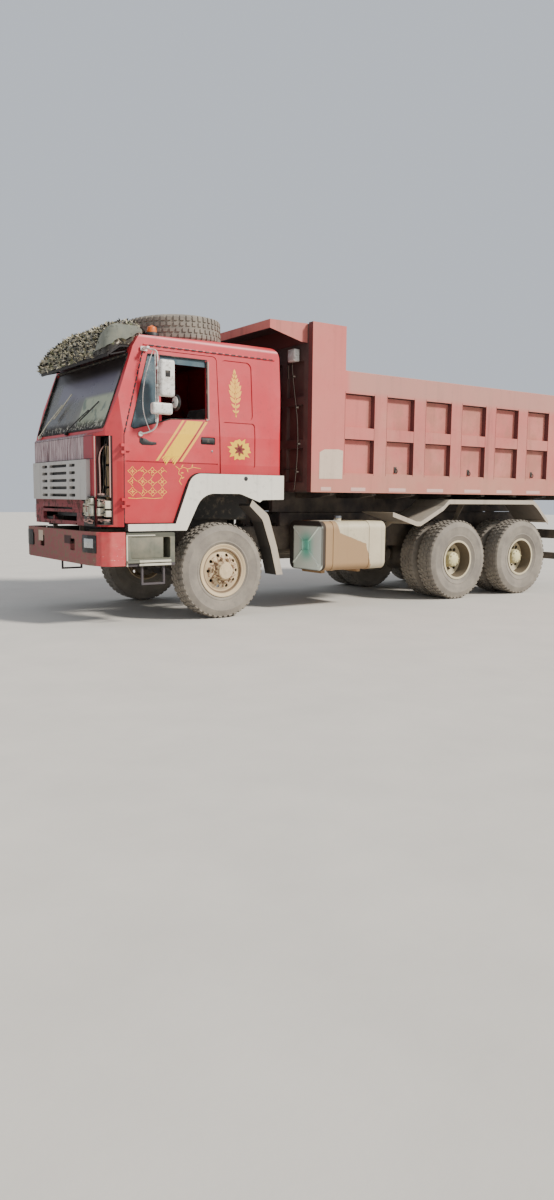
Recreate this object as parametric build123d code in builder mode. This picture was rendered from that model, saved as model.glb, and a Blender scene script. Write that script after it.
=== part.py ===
from build123d import *
import math
import os

os.makedirs("parts", exist_ok=True)

# Millimetres. +X forward, +Y left, +Z up; the origin is on the ground under the box centre.
# Sizes along the truck count from the front axle, which stands this far ahead of the origin.
FRONT_AXLE = 2690

# Wheels and axles
TYRE_R = 555
TYRE_HALF = 150
RIM_R = 254
HUB_Z = TYRE_R
REAR_AXLES = (-3825, -5175)
FRONT_Y = 1011
DUAL_IN = 740
DUAL_OUT = 1090
KING_Y = 745
SPINDLE_R = 42
REAR_SPINDLE_R = 60
FIT = 0.3

# Ladder frame and the tipping frame on it
RAIL_IN = 345
RAIL_OUT = 425
RAIL_LOW = 730
RAIL_TOP = 1030
RAIL_FRONT = 1330
RAIL_REAR = -6250
WEB_T = 10
SUB_TOP = 1210
SUB_FRONT = -1300
SUB_REAR = -6080
SPRING_Y = 432
BOGIE_SPRING_Y = 475
SPRING_HALF = 42

# Cab
WALL = 45
GAP = 7
CAB_HALF = 1150
SHOULDER_Z = 2085
ROOF_Z = 3000
CAB_REAR = -810
FACE_X = 1482
CAB_LOW = 1075
SIDE_REAR = CAB_REAR + WALL + 5
FLOOR_Z = 1118
SILL_Z = 1105
WAIST_Z = 1660
DOOR_REAR = 45
DOOR_FRONT = 1232
DOOR_TOP = 2960
ARCH_OUT = 1200
TILT_X = 1430
TILT_Z = 1100
TILT_PIN = 18
LUG_IN = 345
ARM_IN = 400
HINGE_DOOR_X = DOOR_FRONT + 1
HINGE_DOOR_Y = CAB_HALF + 16
HINGE_PIN = 7
HINGE_LEVELS = (1330, 1900)
HINGE_REACH = 22

# Load body
BED_FRONT = -1180
BED_REAR = -6840
BED_OUT = 1248
BED_SKIN = 1183
BED_IN = 1165
BED_LOW = 1472
BED_TOP = 2950
POST_REAR = -1695
POST_TOP = 3485
FLOOR_T = 18
TIP_X = -6300
TIP_Z = 1120
TIP_R = 45
GATE_X = BED_REAR - 22
GATE_Z = BED_TOP + 60
GATE_PIN = 18

# Hoist
HOIST_X = -1000
HOIST_Z = 1000
HOIST_PIN = 25
STAGE_R = (95, 78, 64, 50, 36)
STAGE_TOP = 2880
STAGE_LOW = 1100
STEP_UP = 25

# Outlines: two coordinates and a corner radius in each row.
CAB_SIDE = [
    (1490, 1000, 0),
    (1490, 2045, 30),
    (1412, SHOULDER_Z, 0),
    (1088, 2985, 0),
    (1010, 3108, 70),
    (CAB_REAR + 5, 3166, 140),
    (CAB_REAR, 1000, 0),
]
CAB_PLAN = [(CAB_REAR, CAB_HALF, 60), (1240, CAB_HALF, 60), (1400, 1045, 40), (FACE_X, 900, 60)]
CAB_CROSS = [(CAB_HALF, 900, 0), (CAB_HALF, SHOULDER_Z, 0), (1076, 3150, 80)]
ARCH = [
    (1215, 1030, 12),
    (1215, SILL_Z, 8),
    (645, SILL_Z, 0),
    (433, WAIST_Z, 170),
    (CAB_REAR, WAIST_Z, 0),
    (CAB_REAR, 1378, 10),
    (-504, 1372, 10),
    (-470, 1345, 10),
    (-200, 1440, 120),
    (302, 1440, 250),
    (510, 1030, 0),
]
REAR_WINDOW = [(190, 2915, 40), (207, 2262, 40), (672, 2240, 20), (780, 2208, 0), (780, 2915, 0)]
QUARTER = [(812, 2915, 0), (812, 2199, 0), (1113, 2116, 40), (1150, 2135, 20), (918, 2915, 30)]


def outline(rows):
    """Face of a closed outline from rows of x, y and corner radius."""
    with BuildSketch() as face:
        with BuildLine():
            FilletPolyline(*[(a, b) for a, b, r in rows], radius=[r for a, b, r in rows], close=True)
        make_face()
    return face.sketch


def prism(plane, rows, depth, mode=Mode.ADD):
    with BuildSketch(plane) as face:
        add(outline(rows))
    extrude(face.sketch, amount=depth, mode=mode)


def across(rows, y0, y1, mode=Mode.ADD):
    """Side-view outline (x from the front axle, z, radius) carried from y0 to y1."""
    low, high = sorted((y0, y1))
    prism(Plane.XZ.offset(-high), [(FRONT_AXLE + x, z, r) for x, z, r in rows], high - low, mode)


def along(rows, x0, x1, mode=Mode.ADD):
    """Front-view outline (y, z, radius) carried from x0 to x1, counted from the front axle."""
    low, high = sorted((x0, x1))
    prism(Plane.YZ.offset(FRONT_AXLE + low), rows, high - low, mode)


def upward(rows, z0, z1, mode=Mode.ADD):
    """Plan outline (x from the front axle, y, radius) carried from z0 to z1."""
    prism(Plane.XY.offset(z0), [(FRONT_AXLE + x, y, r) for x, y, r in rows], z1 - z0, mode)


def rect(a0, a1, b0, b1, r=0):
    return [(a0, b0, r), (a1, b0, r), (a1, b1, r), (a0, b1, r)]


def both_halves(rows):
    """Adds the mirrored half to rows whose second value is the distance from the centre plane."""
    return rows + [(a, -b, r) for a, b, r in reversed(rows)]


def shaft(x, z, r, y0, y1, mode=Mode.ADD):
    """Round bar along y at x from the front axle."""
    low, high = sorted((y0, y1))
    with BuildSketch(Plane.XZ.offset(-high)) as face:
        with Locations((FRONT_AXLE + x, z)):
            Circle(r)
    extrude(face.sketch, amount=high - low, mode=mode)


def post(x, y, r, z0, z1, mode=Mode.ADD):
    """Upright round bar at x from the front axle."""
    with BuildSketch(Plane.XY.offset(z0)) as face:
        with Locations((FRONT_AXLE + x, y)):
            Circle(r)
    extrude(face.sketch, amount=z1 - z0, mode=mode)


def pipe(y, z, r, x0, x1, mode=Mode.ADD):
    """Round bar along x, counted from the front axle."""
    low, high = sorted((x0, x1))
    with BuildSketch(Plane.YZ.offset(FRONT_AXLE + low)) as face:
        with Locations((y, z)):
            Circle(r)
    extrude(face.sketch, amount=high - low, mode=mode)


def turned(rows, x, y, z, out=1):
    """Revolves rows of radius and offset along y about the line through (x, z)."""
    with BuildSketch(Plane(origin=(FRONT_AXLE + x, y, z), x_dir=(0, 0, 1), z_dir=(-out, 0, 0))) as face:
        add(outline(rows))
    revolve(face.sketch, axis=Axis((FRONT_AXLE + x, y, z), (0, 1, 0)))


def spun(rows, x, y):
    """Revolves rows of radius and height about the upright line at x, y."""
    with BuildSketch(Plane(origin=(FRONT_AXLE + x, y, 0), x_dir=(1, 0, 0), z_dir=(0, -1, 0))) as face:
        add(outline(rows))
    revolve(face.sketch, axis=Axis((FRONT_AXLE + x, y, 0), (0, 0, 1)))


def cab_form(inset):
    """Solid cab form: side, plan and front outlines meet, each drawn in by the inset."""
    with BuildPart(mode=Mode.PRIVATE) as form:
        for plane, rows, depth, mode in (
            (Plane.XZ.offset(-1400), [(FRONT_AXLE + x, z, r) for x, z, r in CAB_SIDE], 2800, Mode.ADD),
            (
                Plane.XY.offset(900),
                both_halves([(FRONT_AXLE + x, y, r) for x, y, r in CAB_PLAN]),
                2600,
                Mode.INTERSECT,
            ),
            (
                Plane.YZ,
                [(y, z, r) for y, z, r in CAB_CROSS] + [(0, 3205, 0)] + [(-y, z, r) for y, z, r in reversed(CAB_CROSS)],
                6000,
                Mode.INTERSECT,
            ),
        ):
            with BuildSketch(plane) as face:
                add(outline(rows))
                if inset:
                    offset(amount=-inset, kind=Kind.INTERSECTION)
            extrude(face.sketch, amount=depth, mode=mode)
    return form.part


CAB_OUT = cab_form(0)
CAB_IN = cab_form(WALL)
CAB_SUNK = cab_form(10)


def cab_wall():
    """Adds the whole cab wall to the open builder."""
    add(CAB_OUT)
    add(CAB_IN, mode=Mode.SUBTRACT)


def keep(rows, y0=-1400, y1=1400):
    across(rows, y0, y1, mode=Mode.INTERSECT)


def cut(rows, y0=-1400, y1=1400):
    across(rows, y0, y1, mode=Mode.SUBTRACT)


def press(rows, side):
    """Sinks an area of the cab's outer skin by the pressing depth."""
    with BuildPart(mode=Mode.PRIVATE) as area:
        add(CAB_OUT)
        add(CAB_SUNK, mode=Mode.SUBTRACT)
        keep(rows, side * 900, side * 1300)
    add(area.part, mode=Mode.SUBTRACT)


# Ladder frame with cross members, the tipping hinge tube and the cab's pivot brackets
with BuildPart() as frame_rails:
    rail = [
        (RAIL_OUT, RAIL_LOW, 0),
        (RAIL_OUT, RAIL_TOP, 0),
        (RAIL_IN, RAIL_TOP, 0),
        (RAIL_IN, RAIL_TOP - WEB_T, 0),
        (RAIL_OUT - WEB_T, RAIL_TOP - WEB_T, 0),
        (RAIL_OUT - WEB_T, RAIL_LOW + WEB_T, 0),
        (RAIL_IN, RAIL_LOW + WEB_T, 0),
        (RAIL_IN, RAIL_LOW, 0),
    ]
    along(rail, RAIL_REAR, RAIL_FRONT)
    for x in (1240, -1500, -2600, -3300, -4500, -5700):
        channel = [
            (x - 40, 790, 0),
            (x + 40, 790, 0),
            (x + 40, 800, 0),
            (x - 30, 800, 0),
            (x - 30, 960, 0),
            (x + 40, 960, 0),
            (x + 40, 970, 0),
            (x - 40, 970, 0),
        ]
        across(channel, 0, RAIL_OUT - WEB_T)
    across(rect(RAIL_REAR, RAIL_REAR + 12, RAIL_LOW + WEB_T, RAIL_TOP - WEB_T), 0, RAIL_OUT - WEB_T)
    plate = [
        (TIP_X - 60, TIP_Z + 60, 60),
        (TIP_X + 60, TIP_Z + 60, 60),
        (TIP_X + 90, RAIL_LOW + 80, 0),
        (RAIL_REAR, RAIL_LOW + 80, 0),
        (TIP_X - 60, RAIL_LOW + 200, 0),
    ]
    across(plate, 240, 262)
    across(rect(RAIL_REAR, RAIL_REAR + 80, RAIL_LOW + 80, RAIL_LOW + 110), 240, RAIL_OUT - WEB_T)
    shaft(TIP_X, TIP_Z, TIP_R, 0, RAIL_OUT + 12)
    along(rect(RAIL_IN + 10, RAIL_OUT, RAIL_LOW + 30, RAIL_TOP - 20), RAIL_FRONT, RAIL_FRONT + 50)
    arm = [
        (RAIL_FRONT + 50, 800, 0),
        (RAIL_FRONT + 50, 980, 0),
        (TILT_X - 24, TILT_Z + 22, 12),
        (TILT_X + 12, TILT_Z + 22, 12),
        (TILT_X + 12, 900, 0),
    ]
    across(arm, ARM_IN, RAIL_OUT)
    shaft(TILT_X, TILT_Z, TILT_PIN, LUG_IN - 12, RAIL_OUT)
    shaft(TILT_X, TILT_Z, TILT_PIN + 8, LUG_IN - 12, LUG_IN - FIT)
    mirror(about=Plane.XZ)
frame_rails.part.label = "frame_rails"
export_step(frame_rails.part, "parts/frame_rails.step")

with BuildPart() as sub_frame:
    tube = rect(RAIL_IN, RAIL_OUT, RAIL_TOP, SUB_TOP, 12)
    along(tube, SUB_REAR, SUB_FRONT)
    for x in (-1360, -2600, -3800, -5000, SUB_REAR + 40):
        across(rect(x - 40, x + 40, RAIL_TOP + 30, SUB_TOP - 20), 0, RAIL_IN + 6)
    mirror(about=Plane.XZ)
sub_frame.part.label = "sub_frame"
export_step(sub_frame.part, "parts/sub_frame.step")

# Forged front beam: low in the middle, with an upright eye for each king pin
EYE_LOW = 474
EYE_TOP = 594
with BuildPart() as front_axle:
    beam = [
        (0, 400, 0),
        (SPRING_Y + 75, 400, 60),
        (KING_Y - 85, EYE_LOW + 10, 40),
        (KING_Y, EYE_LOW + 10, 0),
        (KING_Y, EYE_TOP - 10, 0),
        (KING_Y - 60, EYE_TOP - 10, 40),
        (SPRING_Y + 60, 510, 60),
        (0, 510, 0),
    ]
    along(beam, -48, 48)
    for x in (-60, 32):
        along(rect(0, SPRING_Y - 70, 425, 485), x, x + 28, mode=Mode.SUBTRACT)
    post(0, KING_Y, 52, EYE_LOW, EYE_TOP)
    post(0, KING_Y, 22 + FIT, EYE_LOW - 5, EYE_TOP + 5, mode=Mode.SUBTRACT)
    mirror(about=Plane.XZ)
front_axle.part.label = "front_axle"
export_step(front_axle.part, "parts/front_axle.step")

# Rear axles: a bowl in the middle that tapers to the spindles
with BuildPart() as rear_axles:
    bowl = [
        (0, -900, 0),
        (REAR_SPINDLE_R, -900, 0),
        (REAR_SPINDLE_R, -575, 0),
        (88, -560, 0),
        (88, -400, 0),
        (120, -250, 0),
        (215, -120, 80),
        (215, 120, 80),
        (120, 250, 0),
        (88, 400, 0),
        (88, 560, 0),
        (REAR_SPINDLE_R, 575, 0),
        (REAR_SPINDLE_R, 900, 0),
        (0, 900, 0),
    ]
    for x in REAR_AXLES:
        turned(bowl, x, 0, HUB_Z)
        pipe(0, HUB_Z + 20, 105, x, x + 260)
rear_axles.part.label = "rear_axles"
export_step(rear_axles.part, "parts/rear_axles.step")

# Leaf packs: each leaf is a bent strip, shorter the farther it lies from the main leaf
LEAF_T = 16


def leaf_pack(x, y, half, camber, z, count, lift, width):
    """Leaves about x; lift 1 curves the ends up and stacks downward, -1 the other way."""
    radius = (half * half + camber * camber) / (2 * camber)
    for index in range(count):
        reach = half * (1 - index * 0.75 / count)
        turn = math.degrees(math.asin(reach / radius))
        inner = radius + index * LEAF_T
        centre = z + lift * radius
        with BuildSketch(Plane.YZ.offset(FRONT_AXLE + x)) as strip:
            with Locations((y, centre - lift * (inner + LEAF_T / 2))):
                Rectangle(width, LEAF_T)
        line = Axis((FRONT_AXLE + x, 0, centre), (0, 1, 0))
        for way in (turn, -turn):
            revolve(strip.sketch, axis=line, revolution_arc=way)


with BuildPart() as springs:
    leaf_pack(0, SPRING_Y, 780, 90, 576, 4, 1, 2 * SPRING_HALF)
    across(rect(-110, 110, 510, 524), SPRING_Y - SPRING_HALF - 14, SPRING_Y + SPRING_HALF + 5)
    for x in (-745, 745):
        hanger = [(x - 50, RAIL_LOW, 0), (x + 50, RAIL_LOW, 0), (x + 24, 640, 20), (x - 24, 640, 20)]
        across(hanger, SPRING_Y - SPRING_HALF, RAIL_OUT)
    middle = sum(REAR_AXLES) / 2
    leaf_pack(middle, BOGIE_SPRING_Y, 740, 75, 735, 5, -1, 90)
    saddle = [(middle - 110, 640, 30), (middle + 110, 640, 30), (middle + 90, 735, 0), (middle - 90, 735, 0)]
    across(saddle, RAIL_OUT, BOGIE_SPRING_Y + 50)
    across(rect(middle - 100, middle + 100, 640, 900), RAIL_OUT, RAIL_OUT + 14)
    for x in REAR_AXLES:
        across(rect(x - 55, x + 55, HUB_Z + 88, 662), BOGIE_SPRING_Y - 45, BOGIE_SPRING_Y + 45)
    mirror(about=Plane.XZ)
springs.part.label = "springs"
export_step(springs.part, "parts/springs.step")

with BuildPart() as engine:
    along(rect(-320, 320, 640, 1440, 30), -560, 980)
    along(rect(-335, 335, 820, 1480), 1060, 1150)
    across(rect(1060, 1110, 780, 820), -RAIL_OUT + WEB_T, RAIL_OUT - WEB_T)
    across(rect(-200, -120, RAIL_LOW + WEB_T, 800), -RAIL_OUT + WEB_T, RAIL_OUT - WEB_T)
engine.part.label = "engine"
export_step(engine.part, "parts/engine.step")

# Gearbox and propeller shafts with their yokes
SHAFT_Z = 690
with BuildPart() as drive_line:
    pipe(0, 830, 230, -610, -560)
    pipe(0, 800, 180, -900, -610)
    pipe(0, SHAFT_Z, 52, -3560, -900)
    for x in (-960, -3500):
        pipe(0, SHAFT_Z, 75, x - 40, x + 40)
drive_line.part.label = "drive_line"
export_step(drive_line.part, "parts/drive_line.step")

# Left side tank on two brackets, with its straps and filler
TANK_Y = 860
TANK = rect(TANK_Y - 340, TANK_Y + 340, 490, 1110, 95)
with BuildPart() as fuel_tank:
    along(TANK, -2452, -1400)
    post(-1786, TANK_Y + 160, 48, 1110, 1165)
    for x in (-1610, -2206):
        with BuildSketch(Plane.YZ.offset(FRONT_AXLE + x - 30)) as band:
            add(outline(TANK))
            offset(amount=6)
            add(outline(TANK), mode=Mode.SUBTRACT)
        extrude(band.sketch, amount=60)
        bracket = [
            (RAIL_OUT, RAIL_TOP - 30, 0),
            (TANK_Y - 340, RAIL_TOP - 30, 0),
            (TANK_Y - 340, 560, 0),
            (TANK_Y - 250, 484, 0),
            (TANK_Y + 100, 484, 0),
            (TANK_Y + 100, 440, 0),
            (TANK_Y - 300, 440, 0),
            (RAIL_OUT, 620, 0),
        ]
        along(bracket, x - 30, x + 30)
fuel_tank.part.label = "fuel_tank"
export_step(fuel_tank.part, "parts/fuel_tank.step")

# Right side: battery box over two air tanks
with BuildPart() as air_tanks:
    along(rect(-1130, -RAIL_OUT, 790, 1010, 20), -2400, -1480)
    for y in (-640, -960):
        pipe(y, 640, 130, -2450, -1550)
        for x in (-1750, -2250):
            along(rect(y - 30, y + 30, 740, 792), x - 30, x + 30)
air_tanks.part.label = "air_tanks"
export_step(air_tanks.part, "parts/air_tanks.step")

# Folded bumper, open at the back, on two arms
BUMPER_LOW = 660
BUMPER_TOP = 1020
with BuildPart() as bumper:
    front = [(1250, 1200, 0), (1420, 1200, 60), (1508, 1130, 60), (1560, 930, 60)]
    back = [(1250, 1188, 0), (1415, 1188, 50), (1497, 1123, 50), (1548, 927, 50)]
    upward(both_halves(front), BUMPER_LOW, BUMPER_TOP)
    upward(both_halves(back), BUMPER_LOW + 12, BUMPER_TOP - 12, mode=Mode.SUBTRACT)
    hollow = [(1240, 1130, 0), (1390, 1130, 40), (1450, 1085, 40), (1495, 900, 40)]
    upward(both_halves(hollow), BUMPER_LOW - 10, BUMPER_TOP + 10, mode=Mode.SUBTRACT)
    for y in (840, -840):
        along(rect(y - 85, y + 85, 800, 950, 20), 1500, 1600, mode=Mode.SUBTRACT)
        along(rect(y - 95, y + 95, 790, 960), 1500, 1548)
        along(rect(y - 83, y + 83, 802, 948), 1512, 1549, mode=Mode.SUBTRACT)
        along(rect(y - 70, y + 70, 815, 935, 15), 1510, 1535)
    for y in (480, -480):
        along(rect(y - 70, y + 70, 800, 930, 15), 1500, 1600, mode=Mode.SUBTRACT)
    for side in (1, -1):
        along(rect(side * 352, side * 392, 780, 870), RAIL_FRONT + 50, 1500)
        along(rect(side * 340, side * 404, 760, 890), 1488, 1549)
bumper.part.label = "bumper"
export_step(bumper.part, "parts/bumper.step")

# Entry steps: a boxed step with an open tread, and a hanging foot loop below
with BuildPart() as entry_steps:
    across(rect(660, 1240, 651, 1013, 15), 1000, ARCH_OUT)
    across(rect(715, 1190, 735, 965, 20), 1040, ARCH_OUT + 10, mode=Mode.SUBTRACT)
    across(rect(700, 1240, 690, 712), 1080, ARCH_OUT + 25)
    upward(rect(880, 960, RAIL_OUT, 1005), 900, 960)
    loop = rect(779, 1060, 446, 660)
    across(loop, 1165, 1190)
    across(rect(799, 1040, 468, 700), 1100, 1250, mode=Mode.SUBTRACT)
    mirror(about=Plane.XZ)
entry_steps.part.label = "entry_steps"
export_step(entry_steps.part, "parts/entry_steps.step")

# Mudguards: bent sheet with a turned rim behind each front wheel, and a long roof over the rear ones
GUARD_T = 8
REAR_GUARD = [
    (-2557, 1225, 0),
    (-2996, 1097, 30),
    (-3068, 1097, 30),
    (-3494, 1306, 60),
    (-3600, 1395, 60),
    (-5400, 1395, 60),
    (-5500, 1330, 60),
    (-5770, 1090, 0),
]
with BuildPart() as mudguards:
    front_guard = [
        (-327, 1302, 0),
        (-506, 1141, 120),
        (-624, 813, 200),
        (-712, 480, 0),
        (-735, 480, 0),
        (-648, 813, 200),
        (-524, 1155, 120),
        (-335, 1325, 0),
    ]
    across(front_guard, 960, 1192)
    rim = front_guard[:4] + [(-805, 480, 0), (-720, 813, 200), (-590, 1200, 120), (-360, 1370, 0)]
    across(rim, 1192, 1200)
    shaft(-708, 760, 22, RAIL_OUT, 962)
    across(rect(-735, -640, 700, 820), 952, 962)
    top = REAR_GUARD
    under = [(x, z - GUARD_T, r) for x, z, r in reversed(top)]
    across(top + under, 600, 1222)
    edge = [(x, z - 60, r) for x, z, r in reversed(top)]
    across(top + edge, 1222, 1230)
    for x, z in ((-3032, 1089), (-4500, 1387), (-5762, 1089)):
        gusset = [
            (RAIL_OUT, 910, 0),
            (RAIL_OUT, 1010, 0),
            (600, z, 0),
            (1222, z, 0),
            (1222, z - 30, 0),
            (700, z - 30, 0),
        ]
        along(gusset, x - 6, x + 6)
    mirror(about=Plane.XZ)
mudguards.part.label = "mudguards"
export_step(mudguards.part, "parts/mudguards.step")

with BuildPart() as rear_bar:
    along(rect(-1150, 1150, 480, 580, 12), -6200, -6120)
    for side in (1, -1):
        along(rect(side * 355, side * 415, 580, RAIL_LOW), -6180, -6140)
        along(rect(side * 600, side * 1100, 800, 940, 15), -6215, -6165)
        along(rect(side * RAIL_OUT, side * 700, 850, 890), -6165, -6125)
rear_bar.part.label = "rear_bar"
export_step(rear_bar.part, "parts/rear_bar.step")

# Hoist base: a cross beam between the rails that carries the pin of the lift cylinder
with BuildPart() as hoist_base:
    along(rect(0, RAIL_OUT - WEB_T, 780, 880, 10), HOIST_X - 60, HOIST_X + 60)
    lug = [
        (HOIST_X - 60, 880, 0),
        (HOIST_X + 60, 880, 0),
        (HOIST_X + 48, HOIST_Z + 48, 40),
        (HOIST_X - 48, HOIST_Z + 48, 40),
    ]
    across(lug, 112, 140)
    shaft(HOIST_X, HOIST_Z, HOIST_PIN, 0, 150)
    mirror(about=Plane.XZ)
hoist_base.part.label = "hoist_base"
export_step(hoist_base.part, "parts/hoist_base.step")

# Steering knuckles: a fork on the king pin, the wheel spindle and an arm to the tie rod
ARM_X = -190
ARM_Y = KING_Y
STUD_R = 14
ROD_Z = 470
with BuildPart() as knuckle_left:
    fork = [(-45, KING_Y - 50, 44), (45, KING_Y - 50, 44), (50, 838, 0), (-50, 838, 0)]
    upward(fork, EYE_TOP + FIT, 645)
    upward(fork, 425, EYE_LOW - FIT)
    upward(rect(-50, 50, KING_Y + 60, 838), 425, 645)
    post(0, KING_Y, 22, EYE_LOW - FIT, EYE_TOP + FIT)
    shaft(0, HUB_Z, SPINDLE_R, 838, 1115)
    shaft(0, HUB_Z, 205, 838, 852)
    arm = [(-40, 790, 0), (-40, 700, 0), (ARM_X - 24, ARM_Y - 24, 22), (ARM_X - 24, ARM_Y + 24, 22)]
    upward(arm, 425, 452)
    post(ARM_X, ARM_Y, STUD_R, 452, 500)
with BuildPart() as knuckle_right:
    add(knuckle_left.part.mirror(Plane.XZ))
for name, knuckle in (("knuckle_left", knuckle_left), ("knuckle_right", knuckle_right)):
    knuckle.part.label = name
    export_step(knuckle.part, "parts/" + name + ".step")

with BuildPart() as tie_rod:
    shaft(ARM_X, ROD_Z + 3, 20, 0, ARM_Y - 15)
    post(ARM_X, ARM_Y, 30, 452 + FIT, 492)
    post(ARM_X, ARM_Y, STUD_R + FIT, 440, 510, mode=Mode.SUBTRACT)
    mirror(about=Plane.XZ)
tie_rod.part.label = "tie_rod"
export_step(tie_rod.part, "parts/tie_rod.step")

# Tyre and rim sections: radius, offset out from the tyre's middle, corner radius
TYRE_HALF_SECTION = [
    (RIM_R, 104, 0),
    (280, 116, 0),
    (340, 138, 0),
    (410, TYRE_HALF, 0),
    (480, 144, 0),
    (532, 126, 0),
    (TYRE_R, 100, 0),
]
FRONT_RIM = [
    (RIM_R - FIT, 104, 0),
    (274, 114, 0),
    (274, 124, 0),
    (246, 124, 0),
    (238, 92, 0),
    (225, 92, 0),
    (150, 126, 0),
    (118, 126, 0),
    (110, 150, 0),
    (88, 200, 0),
    (0, 206, 0),
    (0, 118, 0),
    (SPINDLE_R + FIT, 118, 0),
    (SPINDLE_R + FIT, -60, 0),
    (100, -60, 0),
    (110, 60, 0),
    (140, 108, 0),
    (222, 76, 0),
    (232, -92, 0),
    (244, -124, 0),
    (274, -124, 0),
    (274, -114, 0),
    (RIM_R - FIT, -104, 0),
]
REAR_RIM = [
    (RIM_R - FIT, 104, 0),
    (274, 114, 0),
    (274, 124, 0),
    (246, 124, 0),
    (240, 96, 0),
    (232, -50, 0),
    (215, -62, 0),
    (118, -84, 0),
    (118, -98, 0),
    (228, -80, 0),
    (244, -124, 0),
    (274, -124, 0),
    (274, -114, 0),
    (RIM_R - FIT, -104, 0),
]


def tyre(x, y):
    turned(TYRE_HALF_SECTION + [(r, -w, c) for r, w, c in reversed(TYRE_HALF_SECTION)], x, y, HUB_Z)


def hand_holes(x, y, side, count, reach, size, depth):
    """Ring of round openings through a wheel disc."""
    with BuildSketch(Plane(origin=(FRONT_AXLE + x, y, HUB_Z), x_dir=(1, 0, 0), z_dir=(0, side, 0))) as ring:
        with PolarLocations(reach, count):
            Circle(size)
    extrude(ring.sketch, amount=depth, mode=Mode.SUBTRACT)
    extrude(ring.sketch, amount=-depth, mode=Mode.SUBTRACT)


for name, side in (("front_left", 1), ("front_right", -1)):
    with BuildPart() as front_tyre:
        tyre(0, side * FRONT_Y)
    front_tyre.part.label = "tyre_" + name
    export_step(front_tyre.part, "parts/tyre_" + name + ".step")
    with BuildPart() as front_rim:
        turned([(r, side * w, c) for r, w, c in FRONT_RIM], 0, side * FRONT_Y, HUB_Z)
        hand_holes(0, side * FRONT_Y, side, 10, 186, 20, 140)
    front_rim.part.label = "rim_" + name
    export_step(front_rim.part, "parts/rim_" + name + ".step")

HUB = [
    (REAR_SPINDLE_R + FIT, -470, 0),
    (150, -470, 0),
    (150, -300, 0),
    (118, -280, 0),
    (118, -70, 0),
    (104, -60, 0),
    (100, 40, 0),
    (62, 60, 0),
    (0, 64, 0),
    (0, -175, 0),
    (REAR_SPINDLE_R + FIT, -175, 0),
]
rear_wheels = (
    ("mid_left", REAR_AXLES[0], 1),
    ("mid_right", REAR_AXLES[0], -1),
    ("rear_left", REAR_AXLES[1], 1),
    ("rear_right", REAR_AXLES[1], -1),
)
for name, x, side in rear_wheels:
    with BuildPart() as rear_tyre:
        tyre(x, side * DUAL_IN)
        tyre(x, side * DUAL_OUT)
    rear_tyre.part.label = "tyre_" + name
    export_step(rear_tyre.part, "parts/tyre_" + name + ".step")
    with BuildPart() as rear_rim:
        turned([(r, side * w, c) for r, w, c in REAR_RIM], x, side * DUAL_OUT, HUB_Z)
        turned([(r, -side * w, c) for r, w, c in REAR_RIM], x, side * DUAL_IN, HUB_Z)
        hand_holes(x, side * (DUAL_OUT - 80), side, 8, 178, 24, 60)
        turned([(r, side * w, c) for r, w, c in HUB], x, side * DUAL_OUT, HUB_Z)
    rear_rim.part.label = "rim_" + name
    export_step(rear_rim.part, "parts/rim_" + name + ".step")

# Cab panels, each cut from the one cab form
with BuildPart() as cab_roof:
    cab_wall()
    keep(rect(CAB_REAR - 90, 1600, ROOF_Z, 3400))
cab_roof.part.label = "cab_roof"
export_step(cab_roof.part, "parts/cab_roof.step")

with BuildPart() as cab_back:
    cab_wall()
    keep(rect(CAB_REAR - 90, SIDE_REAR, 1390, ROOF_Z))
    for side in (1, -1):
        cut(rect(CAB_REAR - 90, CAB_REAR + 90, 1300, WAIST_Z), side * (CAB_HALF - WALL), side * 1300)
cab_back.part.label = "cab_back"
export_step(cab_back.part, "parts/cab_back.step")

with BuildPart() as cab_sides:
    cab_wall()
    panel = [
        (SIDE_REAR, WAIST_Z, 0),
        (DOOR_REAR - GAP, WAIST_Z, 0),
        (DOOR_REAR + 16, DOOR_TOP + GAP, 50),
        (968, DOOR_TOP + GAP, 0),
        (962, ROOF_Z, 0),
        (SIDE_REAR, ROOF_Z, 0),
    ]
    keep(panel)
    for side in (1, -1):
        press(rect(-405, 10, 2275, 2942, 70), side)
        press(rect(-431, 10, 1735, 2250, 40), side)
cab_sides.part.label = "cab_sides"
export_step(cab_sides.part, "parts/cab_sides.step")

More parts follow.
